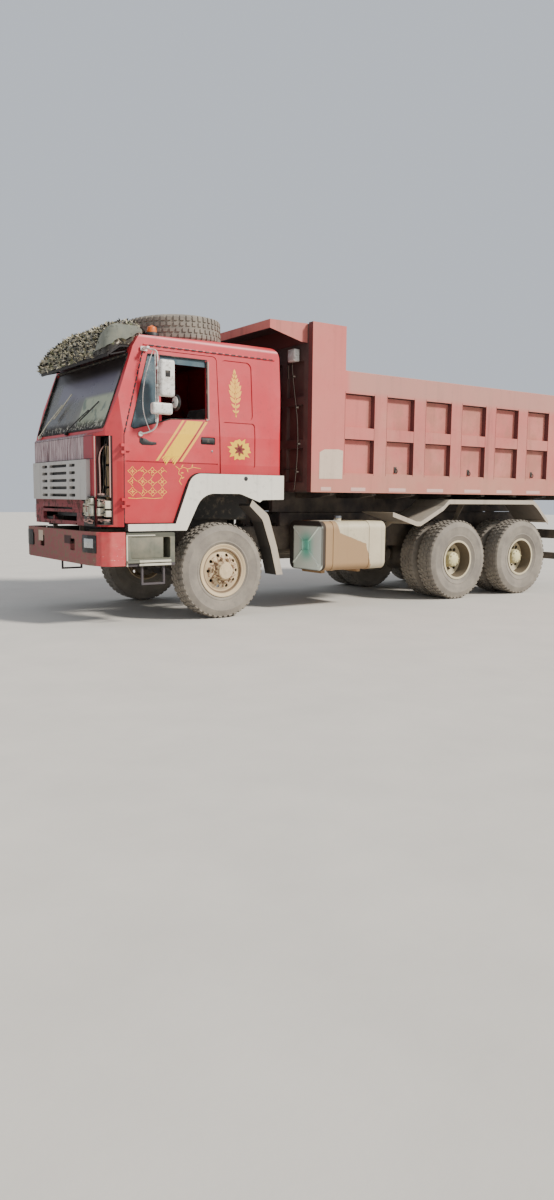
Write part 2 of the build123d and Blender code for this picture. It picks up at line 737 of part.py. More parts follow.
SCREEN = [(-1010, 2125, 70), (1010, 2125, 70), (1030, 2905, 70), (-1030, 2905, 70)]
GRILLE_LOW = 1360
GRILLE_TOP = 1790
with BuildPart() as cab_front:
    cab_wall()
    front_zone = [
        (DOOR_FRONT + GAP, CAB_LOW, 0),
        (DOOR_FRONT - 1, 2053, 0),
        (962, ROOF_Z, 0),
        (1600, ROOF_Z, 0),
        (1600, CAB_LOW, 0),
    ]
    keep(front_zone)
    along(SCREEN, 1000, 1700, mode=Mode.SUBTRACT)
    along(rect(-830, 830, GRILLE_LOW + 20, GRILLE_TOP - 20), 1400, 1700, mode=Mode.SUBTRACT)
    along(rect(-640, 640, 1120, 1310, 30), 1400, 1700, mode=Mode.SUBTRACT)
    upward(rect(1345, 1600, 945, 1300), 1095, 2035, mode=Mode.SUBTRACT)
    along(rect(-1060, -900, 1120, 1300, 30), 1430, 1700, mode=Mode.SUBTRACT)
    for side in (1, -1):
        lug = [
            (TILT_X - 26, TILT_Z - 24, 20),
            (TILT_X + 20, TILT_Z - 24, 0),
            (TILT_X + 20, TILT_Z + 70, 0),
            (TILT_X - 26, TILT_Z + 30, 20),
        ]
        along(rect(side * (LUG_IN - 18), side * LUG_IN, 1060, TILT_Z + 34), 1400, TILT_X + 32, mode=Mode.SUBTRACT)
        across(lug, side * LUG_IN, side * (ARM_IN - FIT))
        shaft(TILT_X, TILT_Z, TILT_PIN + FIT, side * (LUG_IN - 5), side * RAIL_OUT, mode=Mode.SUBTRACT)
        along(rect(side * 393, side * 432, 1060, 1165), 1400, TILT_X + 26, mode=Mode.SUBTRACT)
        along(rect(side * 393, side * 432, 1060, TILT_Z), 1400, 1500, mode=Mode.SUBTRACT)
        for z in HINGE_LEVELS:
            for low in (z - HINGE_REACH - 30, z + HINGE_REACH):
                post(HINGE_DOOR_X, side * HINGE_DOOR_Y, 12, low, low + 30)
                upward(rect(HINGE_DOOR_X, HINGE_DOOR_X + 40, side * 1158, side * (HINGE_DOOR_Y + 10)), low, low + 30)
                upward(rect(HINGE_DOOR_X + 8, HINGE_DOOR_X + 40, side * 1115, side * (HINGE_DOOR_Y + 10)), low, low + 30)
            post(HINGE_DOOR_X, side * HINGE_DOOR_Y, HINGE_PIN, z - HINGE_REACH, z + HINGE_REACH)
cab_front.part.label = "cab_front"
export_step(cab_front.part, "parts/cab_front.step")

# Grille plate: five rows of slots, each in three lengths
with BuildPart() as grille:
    along(rect(-830, 830, GRILLE_LOW, GRILLE_TOP, 15), FACE_X, 1530)
    with BuildSketch(Plane.YZ.offset(FRONT_AXLE + 1530)) as slots:
        for y, length in ((-430, 180), (0, 540), (430, 180)):
            with Locations(*[(y, GRILLE_LOW + 48 + 82 * row) for row in range(5)]):
                SlotOverall(length, 34)
    extrude(slots.sketch, amount=-60, mode=Mode.SUBTRACT)
grille.part.label = "grille"
export_step(grille.part, "parts/grille.step")

with BuildPart() as windscreen:
    add(cab_form(14))
    add(cab_form(20), mode=Mode.SUBTRACT)
    along(SCREEN, 1000, 1700, mode=Mode.INTERSECT)
windscreen.part.label = "windscreen"
export_step(windscreen.part, "parts/windscreen.step")

with BuildPart() as cab_arches:
    across(ARCH, CAB_HALF - WALL, ARCH_OUT)
    mirror(about=Plane.XZ)
cab_arches.part.label = "cab_arches"
export_step(cab_arches.part, "parts/cab_arches.step")

# Floor pan: footwell, step over the wheels, engine tunnel and the bulkhead behind the front panel
with BuildPart() as cab_floor:
    pan = [
        (1500, FLOOR_Z, 0),
        (1500, FLOOR_Z + 35, 0),
        (1310, FLOOR_Z + 35, 0),
        (1310, 2040, 0),
        (1290, 2040, 0),
        (1290, FLOOR_Z + 35, 30),
        (630, FLOOR_Z + 35, 40),
        (590, 1475, 40),
        (SIDE_REAR, 1475, 0),
        (SIDE_REAR, 1440, 0),
        (555, 1440, 40),
        (595, FLOOR_Z, 40),
    ]
    across(pan, -CAB_HALF + WALL + GAP, CAB_HALF - WALL - GAP)
    add(cab_form(WALL + FIT), mode=Mode.INTERSECT)
    across(rect(SIDE_REAR, DOOR_REAR - 60, 1440, 1475), -CAB_HALF + WALL + FIT, CAB_HALF - WALL - FIT)
    along(rect(-450, 450, FLOOR_Z, 1590, 40), SIDE_REAR, 1300)
    along(rect(-415, 415, 1000, 1555, 30), CAB_REAR - 60, 1500, mode=Mode.SUBTRACT)
    along(rect(-440, 440, 1000, 1165), 1310, 1500, mode=Mode.SUBTRACT)
cab_floor.part.label = "cab_floor"
export_step(cab_floor.part, "parts/cab_floor.step")

WHEEL_CENTRE = (FRONT_AXLE + 760, 560, 1950)
COLUMN = 857
with BuildPart() as dashboard:
    panel = [(1290, 1700, 0), (1290, 2055, 40), (1080, 2040, 60), (960, 1900, 60), (1000, 1700, 30)]
    across(panel, -980, 980)
    ring = Plane(origin=WHEEL_CENTRE, x_dir=(0, 1, 0), z_dir=(-0.4, 0, 0.9165))
    with BuildSketch(Plane(origin=WHEEL_CENTRE, x_dir=(0, 1, 0), z_dir=ring.x_dir.cross(ring.z_dir))) as rim:
        with Locations((225, 0)):
            Circle(15)
    revolve(rim.sketch, axis=Axis(WHEEL_CENTRE, ring.z_dir))
    with BuildSketch(ring.offset(-30)) as spokes:
        Rectangle(430, 40)
        Circle(50)
    extrude(spokes.sketch, amount=30)
    with BuildSketch(ring.offset(-COLUMN)) as column:
        Circle(28)
    extrude(column.sketch, amount=COLUMN - 20)
    across(rect(850, 1010, 1740, 1800, 10), 530, 590)
dashboard.part.label = "dashboard"
export_step(dashboard.part, "parts/dashboard.step")

with BuildPart() as seats:
    for y in (575, -575):
        across([(10, 1600, 40), (490, 1600, 60), (480, 1760, 60), (60, 1740, 20)], y - 230, y + 230)
        across([(60, 1700, 0), (-70, 2420, 50), (40, 2440, 50), (190, 1700, 0)], y - 225, y + 225)
        across([(80, 1475, 0), (400, 1475, 0), (360, 1600, 0), (120, 1600, 0)], y - 110, y + 110)
    across(rect(SIDE_REAR + FIT, -260, 1630, 1760, 50), -1000, 1000)
    across(rect(SIDE_REAR + 20, -280, 1590, 1632), -980, 980)
seats.part.label = "seats"
export_step(seats.part, "parts/seats.step")

# Sun visor over the windscreen, held by the roof's front edge
with BuildPart() as visor:
    blade = [
        (1050, 2995, 0),
        (1200, 2990, 80),
        (1325, 2895, 0),
        (1318, 2882, 0),
        (1190, 2974, 80),
        (1050, 2982, 0),
    ]
    across(blade, -1000, 1000)
    add(CAB_OUT, mode=Mode.SUBTRACT)
visor.part.label = "visor"
export_step(visor.part, "parts/visor.step")

# Leafy cloth cover heaped on the visor: higher in the middle, cut off straight at the near end
COVER_ENDS = ((-1040, 0.35), (-760, 0.78), (-300, 1.0), (250, 0.93), (700, 1.0), (1010, 0.8))
with BuildPart() as visor_cover:
    for y, rise in COVER_ENDS:
        with BuildSketch(Plane.XZ.offset(-y)):
            add(outline([
                (FRONT_AXLE + 930, 3100, 0),
                (FRONT_AXLE + 955, 3140 + 80 * rise, 0),
                (FRONT_AXLE + 1100, 3110 + 170 * rise, 0),
                (FRONT_AXLE + 1260, 3040 + 180 * rise, 0),
                (FRONT_AXLE + 1345, 2960 + 110 * rise, 0),
                (FRONT_AXLE + 1350, 2890, 0),
                (FRONT_AXLE + 1050, 2940, 0),
            ]))
    loft(ruled=True)
    under = [(x, z + FIT, r) for x, z, r in blade[:3]]
    across(under + [(1360, 2870, 0), (1050, 2880, 0)], -1100, 1100, mode=Mode.SUBTRACT)
    add(CAB_OUT, mode=Mode.SUBTRACT)
visor_cover.part.label = "visor_cover"
export_step(visor_cover.part, "parts/visor_cover.step")

with BuildPart() as beacon:
    dome = [
        (0, 3080, 0),
        (62, 3080, 0),
        (62, 3158, 4),
        (55, 3160, 0),
        (50, 3222, 22),
        (0, 3246, 0),
    ]
    spun(dome, 800, 960)
    add(CAB_OUT, mode=Mode.SUBTRACT)
beacon.part.label = "beacon"
export_step(beacon.part, "parts/beacon.step")

# Spare tyre lying on the roof's slope
ROOF_SLOPE = math.atan2(3166 - 3108, 1010 - CAB_REAR - 5)
with BuildPart() as roof_tyre:
    spot = (FRONT_AXLE + 250, 420, 3108 + (1010 - 250) * math.tan(ROOF_SLOPE) + TYRE_HALF / math.cos(ROOF_SLOPE) + FIT)
    up = (math.sin(ROOF_SLOPE), 0, math.cos(ROOF_SLOPE))
    with BuildSketch(Plane(origin=spot, x_dir=(up[2], 0, -up[0]), z_dir=(0, -1, 0))) as section:
        add(outline(TYRE_HALF_SECTION + [(r, -w, c) for r, w, c in reversed(TYRE_HALF_SECTION)]))
    revolve(section.sketch, axis=Axis(spot, up))
roof_tyre.part.label = "roof_tyre"
export_step(roof_tyre.part, "parts/roof_tyre.step")

# Doors, their panes and their mirrors
DOOR = [
    (DOOR_FRONT, SILL_Z + 10, 15),
    (DOOR_FRONT - 8, 2050, 0),
    (966, DOOR_TOP, 40),
    (DOOR_REAR + 23, DOOR_TOP, 50),
    (DOOR_REAR, SILL_Z + 10, 0),
]
with BuildPart() as door_left:
    cab_wall()
    keep(DOOR, 900, 1300)
    with BuildSketch(Plane.XZ.offset(-1300)) as arch_gap:
        add(outline([(FRONT_AXLE + x, z, r) for x, z, r in ARCH]))
        offset(amount=GAP + 1)
    extrude(arch_gap.sketch, amount=300, mode=Mode.SUBTRACT)
    cut(rect(0, 300, 900, WAIST_Z))
    cut(rect(0, 505, 900, 1430))
    cut(REAR_WINDOW)
    cut(QUARTER)
    press(rect(112, 300, 1982, 2068, 20), 1)
    press(rect(80, 1216, 1763, 1777), 1)
    across(rect(125, 288, 2006, 2044, 12), CAB_HALF - 12, CAB_HALF + 8)
    for z in HINGE_LEVELS:
        low = z - HINGE_REACH + FIT
        high = z + HINGE_REACH - FIT
        upward(rect(HINGE_DOOR_X - 70, HINGE_DOOR_X - 8, CAB_HALF - 4, HINGE_DOOR_Y + 6), low, high)
        post(HINGE_DOOR_X, HINGE_DOOR_Y, 12, low, high)
        post(HINGE_DOOR_X, HINGE_DOOR_Y, HINGE_PIN + FIT, low - 5, high + 5, mode=Mode.SUBTRACT)
with BuildPart() as glass_left:
    for zone in (QUARTER, rect(190, 780, 2838, 2915)):
        with BuildPart(mode=Mode.PRIVATE) as pane:
            add(cab_form(20))
            add(cab_form(26), mode=Mode.SUBTRACT)
            keep(zone, 900, 1300)
            keep(REAR_WINDOW if zone is not QUARTER else QUARTER, 900, 1300)
        add(pane.part)
with BuildPart() as mirror_left:
    frame_y = 1342
    tube = [
        (925, 2885, 15),
        (960, 2885, 15),
        (1132, 2090, 15),
        (1132, 2062, 10),
        (1100, 2062, 15),
        (925, 2860, 15),
    ]
    across(tube, frame_y - 12, frame_y + 12)
    across([(950, 2855, 0), (1104, 2095, 0), (1094, 2095, 0), (935, 2835, 0)], frame_y - 20, frame_y + 20, mode=Mode.SUBTRACT)
    shaft(942, 2871, 12, 1097, frame_y)
    shaft(1116, 2076, 12, CAB_HALF + FIT, frame_y)
    across(rect(738, 930, 2450, 2830, 40), frame_y - 45, frame_y + 40)
    across(rect(766, 1000, 2263, 2382, 30), frame_y - 45, frame_y + 35)
    across(rect(925, 990, 2640, 2664), frame_y - 12, frame_y + 12)
    across(rect(995, 1070, 2310, 2334), frame_y - 12, frame_y + 12)
for stem, left in (("door", door_left), ("glass", glass_left), ("mirror", mirror_left)):
    with BuildPart() as right:
        add(left.part.mirror(Plane.XZ))
    for name, piece in ((stem + "_left", left), (stem + "_right", right)):
        piece.part.label = name
        export_step(piece.part, "parts/" + name + ".step")

# Load body: floor on two long beams and cross bearers
RIB_FIRST = -2180
RIB_PITCH = 694
RIB_W = 210
RIBS = 7
PANEL_ROWS = ((1710, 2135), (2280, 2690))

# Bay in the front wall that the leaning hoist swings into
EYE_Z = 3060
BAY_HALF = 150
BAY_DEPTH = 390
BAY = [
    (BED_FRONT - 60, 2900, 0),
    (BED_FRONT, 2900, 0),
    (BED_FRONT, BED_LOW, 0),
    (BED_FRONT - BAY_DEPTH, BED_LOW, 0),
]
with BuildPart() as bed_floor:
    along(rect(0, BED_IN, BED_LOW, BED_LOW + FLOOR_T), BED_REAR, BED_FRONT)
    along(rect(RAIL_IN, RAIL_OUT, SUB_TOP + 6, BED_LOW, 0), TIP_X - 120, BED_FRONT)
    bearer = [(0, 1400, 0), (800, 1400, 0), (1150, 1440, 0), (1150, BED_LOW, 0), (0, BED_LOW, 0)]
    upward(rect(BED_FRONT - BAY_DEPTH, BED_FRONT, -10, BAY_HALF), BED_LOW, BED_LOW + FLOOR_T, mode=Mode.SUBTRACT)
    for index in range(-1, RIBS):
        middle = RIB_FIRST - index * RIB_PITCH - RIB_W / 2
        along(bearer, middle - 35, middle + 35)
    along(bearer, BED_REAR, BED_REAR + 80)
    lug = [(TIP_X - 75, TIP_Z, 0), (TIP_X - 75, SUB_TOP + 10, 0), (TIP_X + 75, SUB_TOP + 10, 0), (TIP_X + 75, TIP_Z, 0)]
    across(lug, RAIL_IN + 5, RAIL_OUT - 5)
    shaft(TIP_X, TIP_Z, 75, RAIL_IN + 5, RAIL_OUT - 5)
    shaft(TIP_X, TIP_Z, TIP_R + FIT, 300, 500, mode=Mode.SUBTRACT)
    mirror(about=Plane.XZ)
bed_floor.part.label = "bed_floor"
export_step(bed_floor.part, "parts/bed_floor.step")

# Side walls: pressed pockets between the ribs and rails, a raised front post and a gate hanger
with BuildPart() as bed_sides:
    wall = [
        (BED_REAR, BED_LOW, 0),
        (BED_REAR, BED_TOP, 0),
        (POST_REAR, BED_TOP, 0),
        (POST_REAR, POST_TOP, 0),
        (BED_FRONT, POST_TOP, 0),
        (BED_FRONT, BED_LOW, 0),
    ]
    across(wall, BED_IN, BED_OUT)
    edges = [(POST_REAR, RIB_FIRST)]
    edges += [(RIB_FIRST - RIB_W - i * RIB_PITCH, RIB_FIRST - (i + 1) * RIB_PITCH) for i in range(RIBS - 1)]
    edges += [(RIB_FIRST - RIB_W - (RIBS - 1) * RIB_PITCH, BED_REAR + 150)]
    with BuildSketch(Plane.XZ.offset(-BED_OUT)) as pockets:
        for front, rear in edges:
            for low, high in PANEL_ROWS:
                with Locations((FRONT_AXLE + (front + rear) / 2, (low + high) / 2)):
                    Rectangle(front - rear, high - low)
    extrude(pockets.sketch, amount=BED_OUT - BED_SKIN, taper=8, mode=Mode.SUBTRACT)
    hanger = [
        (BED_REAR + 160, BED_TOP, 0),
        (BED_REAR + 100, GATE_Z + 40, 20),
        (GATE_X - 40, GATE_Z + 40, 30),
        (GATE_X - 40, BED_TOP - 20, 0),
        (BED_REAR, BED_TOP - 20, 0),
        (BED_REAR, BED_TOP, 0),
    ]
    across(hanger, BED_SKIN + 20, BED_OUT - 15)
    shaft(GATE_X, GATE_Z, GATE_PIN, 1085, BED_SKIN + 25)
    mirror(about=Plane.XZ)
bed_sides.part.label = "bed_sides"
export_step(bed_sides.part, "parts/bed_sides.step")

# Front wall with pressed pockets and the two ears that hold the hoist's top eye
with BuildPart() as bed_front:
    along(rect(-BED_IN, BED_IN, BED_LOW + FLOOR_T, 3470), BED_FRONT - 60, BED_FRONT)
    with BuildSketch(Plane.YZ.offset(FRONT_AXLE + BED_FRONT)) as pockets:
        for z in (1800, 2320, 2840):
            with Locations((-900, z), (-450, z), (450, z), (900, z)):
                Rectangle(350, 420)
    extrude(pockets.sketch, amount=-46, taper=8, mode=Mode.SUBTRACT)
    across(BAY, -BAY_HALF, BAY_HALF)
    inner = [(x + (8 if x < BED_FRONT else 40), z - 14 if z > BED_TOP - 400 else z, r) for x, z, r in BAY]
    across(inner, -BAY_HALF + 8, BAY_HALF - 8, mode=Mode.SUBTRACT)
    ear = [
        (BED_FRONT, EYE_Z - 140, 0),
        (BED_FRONT, EYE_Z + 140, 0),
        (HOIST_X - 40, EYE_Z + 40, 40),
        (HOIST_X - 40, EYE_Z - 40, 40),
    ]
    for side in (1, -1):
        across(ear, side * 60, side * 84)
bed_front.part.label = "bed_front"
export_step(bed_front.part, "parts/bed_front.step")

# Hood in front of the load body: open below, with side gussets
HOOD_FRONT = -634
with BuildPart() as canopy:
    hood = [(BED_FRONT, 3250, 0), (-1100, 3252, 0), (HOOD_FRONT, 3364, 0), (HOOD_FRONT, 3463, 0), (BED_FRONT, 3475, 0)]
    across(hood, -1138, 1138)
    inside = [(BED_FRONT + 5, 3200, 0), (HOOD_FRONT - 12, 3200, 0), (HOOD_FRONT - 12, 3450, 0), (BED_FRONT + 5, 3463, 0)]
    across(inside, -1126, 1126, mode=Mode.SUBTRACT)
    across(rect(BED_FRONT, BED_FRONT + 10, 3250, 3470), -1126, 1126)
canopy.part.label = "canopy"
export_step(canopy.part, "parts/canopy.step")

# Tailgate: hung from two arms at the top
with BuildPart() as tailgate:
    along(rect(0, 1205, 1430, 2895), BED_REAR - 98, BED_REAR - 8)
    with BuildSketch(Plane.YZ.offset(FRONT_AXLE + BED_REAR - 98)) as pockets:
        for y in (290, 870):
            with Locations(*[(y, z) for z in (1700, 2160, 2620)]):
                Rectangle(480, 370)
    extrude(pockets.sketch, amount=70, taper=8, mode=Mode.SUBTRACT)
    arm = [
        (BED_REAR - 8, 2890, 0),
        (BED_REAR - 60, 2890, 0),
        (GATE_X - 36, GATE_Z + 20, 20),
        (GATE_X - 20, GATE_Z + 36, 20),
        (GATE_X + 14, GATE_Z + 36, 20),
        (GATE_X + 14, GATE_Z, 0),
    ]
    across(arm, 1095, 1150)
    shaft(GATE_X, GATE_Z, 34, 1095, 1150)
    shaft(GATE_X, GATE_Z, GATE_PIN + FIT, 1080, 1170, mode=Mode.SUBTRACT)
    mirror(about=Plane.XZ)
tailgate.part.label = "tailgate"
export_step(tailgate.part, "parts/tailgate.step")

# Hoist: an outer barrel on its pin and four nested stages that slide out of it
with BuildPart() as hoist_barrel:
    post(HOIST_X, 0, STAGE_R[0], HOIST_Z + 45, STAGE_TOP)
    post(HOIST_X, 0, STAGE_R[1] + FIT, STAGE_LOW, STAGE_TOP + 10, mode=Mode.SUBTRACT)
    post(HOIST_X, 0, STAGE_R[0] + 10, STAGE_TOP - 60, STAGE_TOP)
    post(HOIST_X, 0, STAGE_R[1] + FIT, STAGE_TOP - 70, STAGE_TOP + 10, mode=Mode.SUBTRACT)
    foot = [
        (HOIST_X - 60, HOIST_Z + 60, 0),
        (HOIST_X + 60, HOIST_Z + 60, 0),
        (HOIST_X + 45, HOIST_Z - 45, 44),
        (HOIST_X - 45, HOIST_Z - 45, 44),
    ]
    across(foot, -100, 100)
    shaft(HOIST_X, HOIST_Z, HOIST_PIN + FIT, -120, 120, mode=Mode.SUBTRACT)
hoist_barrel.part.label = "hoist_barrel"
export_step(hoist_barrel.part, "parts/hoist_barrel.step")

for index in range(1, len(STAGE_R)):
    top = STAGE_TOP + index * STEP_UP
    with BuildPart() as stage:
        post(HOIST_X, 0, STAGE_R[index], STAGE_LOW + FIT, top)
        if index + 1 < len(STAGE_R):
            post(HOIST_X, 0, STAGE_R[index + 1] + FIT, STAGE_LOW, top + 10, mode=Mode.SUBTRACT)
        else:
            shaft(HOIST_X, EYE_Z, 45, -55, 55)
            upward(rect(HOIST_X - 30, HOIST_X + 30, -40, 40), top, EYE_Z)
            shaft(HOIST_X, EYE_Z, 25, -60, 60, mode=Mode.SUBTRACT)
    stage.part.label = "hoist_stage_" + str(index)
    export_step(stage.part, "parts/hoist_stage_" + str(index) + ".step")
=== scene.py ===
import math
import random

import bmesh
import bpy
from mathutils import Matrix, Vector


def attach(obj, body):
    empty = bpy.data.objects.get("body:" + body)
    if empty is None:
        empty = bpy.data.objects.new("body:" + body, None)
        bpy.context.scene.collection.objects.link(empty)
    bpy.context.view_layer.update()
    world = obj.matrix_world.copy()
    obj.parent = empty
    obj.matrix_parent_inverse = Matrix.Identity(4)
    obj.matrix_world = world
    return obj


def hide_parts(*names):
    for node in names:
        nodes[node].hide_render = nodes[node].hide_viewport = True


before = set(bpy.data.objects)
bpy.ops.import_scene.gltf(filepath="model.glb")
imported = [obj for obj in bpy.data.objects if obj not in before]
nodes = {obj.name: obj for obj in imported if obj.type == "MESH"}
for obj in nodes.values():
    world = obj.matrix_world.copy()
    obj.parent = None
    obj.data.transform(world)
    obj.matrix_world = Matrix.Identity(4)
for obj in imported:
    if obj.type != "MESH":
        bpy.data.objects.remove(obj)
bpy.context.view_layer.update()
bpy.ops.object.select_all(action="DESELECT")

# The front axle stands this far ahead of the origin; sizes along the truck count from it
AXLE = 2.69
HUB_Z = 0.555
FRONT_Y = 1.011
DUAL_IN = 0.740
DUAL_OUT = 1.090
CAB_SIDE = 1.150
SHOULDER_Z = 2.085
SIDE_LEAN = 0.074 / 1.065
SCREEN_LEAN = 0.36
BED_SKIN = 1.183
RIB_FACE = 1.2475
SIDES = (("left", 1), ("right", -1))
WHEELS = [
    (axle + "_" + name, x, side)
    for axle, x in (("front", 0.0), ("mid", -3.825), ("rear", -5.175))
    for name, side in SIDES
]


def at(x, y, z):
    return Vector((AXLE + x, y, z))


def places(rows, side=1):
    """Points from rows of x, y and z; side -1 mirrors them to the right."""
    return [at(x, side * y, z) for x, y, z in rows]


def flat(rows, y, side=1):
    """Points at one y from rows of x and z."""
    return [at(x, side * y, z) for x, z in rows]


def hue(code, alpha=1.0):
    """Colour from its six hex digits, as the eye sees it, to the light values that shaders take."""
    parts = [int(code[i : i + 2], 16) / 255 for i in (0, 2, 4)]
    return tuple(p / 12.92 if p <= 0.04045 else ((p + 0.055) / 1.055) ** 2.4 for p in parts) + (alpha,)


# Camera, fitted to the photograph's own lines
EYE = at(5.0831, 9.4757, 1.4038)
YAW = -0.6120
PITCH = 0.1211
ROLL = 0.0094
FOCUS = 842.96
PHOTO_HIGH = 1200
SENSOR = 36

look = Vector((math.cos(PITCH) * math.sin(YAW), -math.cos(PITCH) * math.cos(YAW), -math.sin(PITCH)))
level = look.cross(Vector((0, 0, 1))).normalized()
rise = level.cross(look)
across_view = level * math.cos(ROLL) + rise * math.sin(ROLL)
up_view = rise * math.cos(ROLL) - level * math.sin(ROLL)
bpy.ops.object.camera_add()
camera = bpy.context.object
camera.name = "photo_camera"
camera.data.lens = FOCUS / PHOTO_HIGH * SENSOR
camera.data.sensor_width = SENSOR
camera.data.clip_end = 300
camera.matrix_world = Matrix.Translation(EYE) @ Matrix((across_view, up_view, -look)).transposed().to_4x4()
bpy.context.scene.camera = camera


class Finish:
    """Procedural material: a base colour, layers laid over it, roughness and relief."""

    made = []

    def __init__(self, name, color, rough, slot, **sockets):
        self.material = bpy.data.materials.new(name)
        self.material.use_nodes = True
        self.material["slot"] = slot
        self.tree = self.material.node_tree
        self.shader = self.tree.nodes["Principled BSDF"]
        for socket, value in sockets.items():
            self.shader.inputs[socket.replace("_", " ")].default_value = value
        self.place = self.add("ShaderNodeTexCoord").outputs["Object"]
        self.parts = self.add("ShaderNodeSeparateXYZ", {0: self.place}).outputs
        self.color = self.shade(color)
        self.rough = rough
        self.relief = None
        Finish.made.append(self)

    def put(self, value, socket):
        """Links an output to a socket, or sets its number."""
        if isinstance(value, bpy.types.NodeSocket):
            self.tree.links.new(value, socket)
        else:
            socket.default_value = value

    def add(self, kind, inputs=None, **settings):
        node = self.tree.nodes.new(kind)
        for key, value in settings.items():
            setattr(node, key, value)
        for key, value in (inputs or {}).items():
            self.put(value, node.inputs[key])
        return node

    def blend(self, share, below, above):
        """Mix of two colours."""
        return self.add("ShaderNodeMix", {0: share, 6: below, 7: above}, data_type="RGBA").outputs[2]

    def shade(self, color):
        """Slight drift of a colour, so that no surface has one flat tone."""
        darker, lighter = [tuple(min(c * way, 1) for c in hue(color)[:3]) + (1,) for way in (0.88, 1.10)]
        return self.blend(self.cloud(1.7, 4), darker, lighter)

    def cloud(self, scale, detail=5.0, seed=0.0, stretch=(1, 1, 1)):
        place = {"Vector": self.place, "Location": (seed, seed * 1.7, seed * 0.6), "Scale": stretch}
        mapped = self.add("ShaderNodeMapping", place).outputs[0]
        noise = {"Vector": mapped, "Scale": scale, "Detail": detail, "Roughness": 0.62}
        return self.add("ShaderNodeTexNoise", noise).outputs["Fac"]

    def step(self, value, low, high):
        """0 at the low value, 1 at the high one, smooth between."""
        ends = {"Value": value, "From Min": low, "From Max": high}
        return self.add("ShaderNodeMapRange", ends, interpolation_type="SMOOTHSTEP").outputs["Result"]

    def math(self, operation, a, b=0.0):
        return self.add("ShaderNodeMath", {0: a, 1: b}, operation=operation).outputs[0]

    def both(self, a, b):
        return self.math("MULTIPLY", a, b)

    def blots(self, scale, detail, low, high, seed=0.0, stretch=(1, 1, 1)):
        """Clouds as a mask between two of their levels."""
        return self.step(self.cloud(scale, detail, seed, stretch), low, high)

    def ramp(self, letter, low, high):
        """Step along an axis; X counts from the front axle."""
        start = AXLE if letter == "X" else 0
        return self.step(self.parts[letter], start + low, start + high)

    def aside(self, low, high):
        """Step of the distance out to either side."""
        return self.step(self.math("ABSOLUTE", self.parts["Y"]), low, high)

    def facing(self, letter):
        """How far the surface faces along an axis."""
        normal = self.add("ShaderNodeNewGeometry").outputs["Normal"]
        return self.add("ShaderNodeSeparateXYZ", {0: normal}).outputs[letter]

    def lean(self, letter, low, high):
        return self.step(self.facing(letter), low, high)

    def zone(self, x, y, z, soft=0.02):
        """1 inside three ranges, fading out over the soft width; None leaves an axis out."""
        mask = None
        for letter, ends in zip("XYZ", (x, y, z)):
            if ends:
                past_low = self.ramp(letter, ends[0] - soft, ends[0] + soft)
                inside = self.both(past_low, self.ramp(letter, ends[1] + soft, ends[1] - soft))
                mask = self.both(mask, inside) if mask else inside
        return mask

    def over(self, mask, color, strength=1.0, rough=None):
        """Lays a colour over what is there, where the mask is 1."""
        share = self.both(mask, strength)
        self.color = self.blend(share, self.color, hue(color))
        if rough is not None:
            mix = self.add("ShaderNodeMix", {0: share, 2: self.rough, 3: rough}, data_type="FLOAT")
            self.rough = mix.outputs[0]

    def patch(self, x, y, z, soft, color, strength, rough=None):
        """Lays a colour inside a zone and gives the zone back."""
        mask = self.zone(x, y, z, soft)
        self.over(mask, color, strength, rough)
        return mask

    def stain(self, clouds, color, strength, rough=None, mask=None):
        """Lays a colour in clouds, only inside the mask where one is given."""
        share = self.blots(*clouds)
        self.over(self.both(mask, share) if mask else share, color, strength, rough)

    def dust(self, color, amount):
        """Dry dust: thick low down and on top faces, in clouds elsewhere."""
        low_down = self.both(self.ramp("Z", 2.6, 0.4), 0.75)
        lying = self.math("MAXIMUM", low_down, self.both(self.lean("Z", 0.35, 0.95), 0.8))
        mask = self.both(self.math("ADD", lying, 0.22), self.blots(3.1, 7, 0.30, 0.72, 3))
        self.over(mask, color, amount, 0.85)

    def chips(self, color, cover):
        mask = self.blots(22, 9, 0.98 - cover, 1.015 - cover)
        self.over(mask, color, 1.0, 0.8)
        self.bump(mask, -0.0006)

    def streaks(self, color, amount, scale=9.0, seed=5.0):
        self.stain((scale, 6, 0.50, 0.78, seed, (1, 1, 0.07)), color, amount, 0.8)

    def bump(self, value, distance, strength=1.0):
        node = self.add("ShaderNodeBump", {"Height": value, "Distance": distance, "Strength": strength})
        if self.relief:
            self.put(self.relief, node.inputs["Normal"])
        self.relief = node.outputs[0]

    def done(self):
        self.put(self.color, self.shader.inputs["Base Color"])
        self.put(self.rough, self.shader.inputs["Roughness"])
        if self.relief:
            self.put(self.relief, self.shader.inputs["Normal"])


DUST = "b7a58c"
RUST = "6b3a24"
GRIME = "3a2f29"


def painted(name, color, slot, rough=0.45, dust=0.35, chips=0.12, streaks=0.3, fade=None, **sockets):
    """Worn vehicle paint: faded clouds, dirt streaks, chips down to rust and dust over all."""
    skin = Finish(name, color, rough, slot, **sockets)
    if fade:
        skin.stain((1.1, 6, 0.42, 0.70, 9), fade, 0.55, rough + 0.15)
    skin.stain((14, 8, 0.55, 0.72, 2), GRIME, 0.18)
    if streaks:
        skin.streaks(GRIME, streaks)
    skin.chips(RUST, chips)
    skin.dust(DUST, dust)
    skin.bump(skin.cloud(5, 3), 0.004, 0.25)
    skin.bump(skin.cloud(160, 4), 0.0004, 0.3)
    return skin


def plain(name, color, slot, rough, grain=120.0, depth=0.0005, dust=0.2, **sockets):
    """Moulded or bare surface with a fine grain and some dust."""
    skin = Finish(name, color, rough, slot, **sockets)
    skin.stain((18, 7, 0.5, 0.75, 4), DUST, dust, 0.85)
    skin.bump(skin.cloud(grain, 4), depth, 0.5)
    return skin


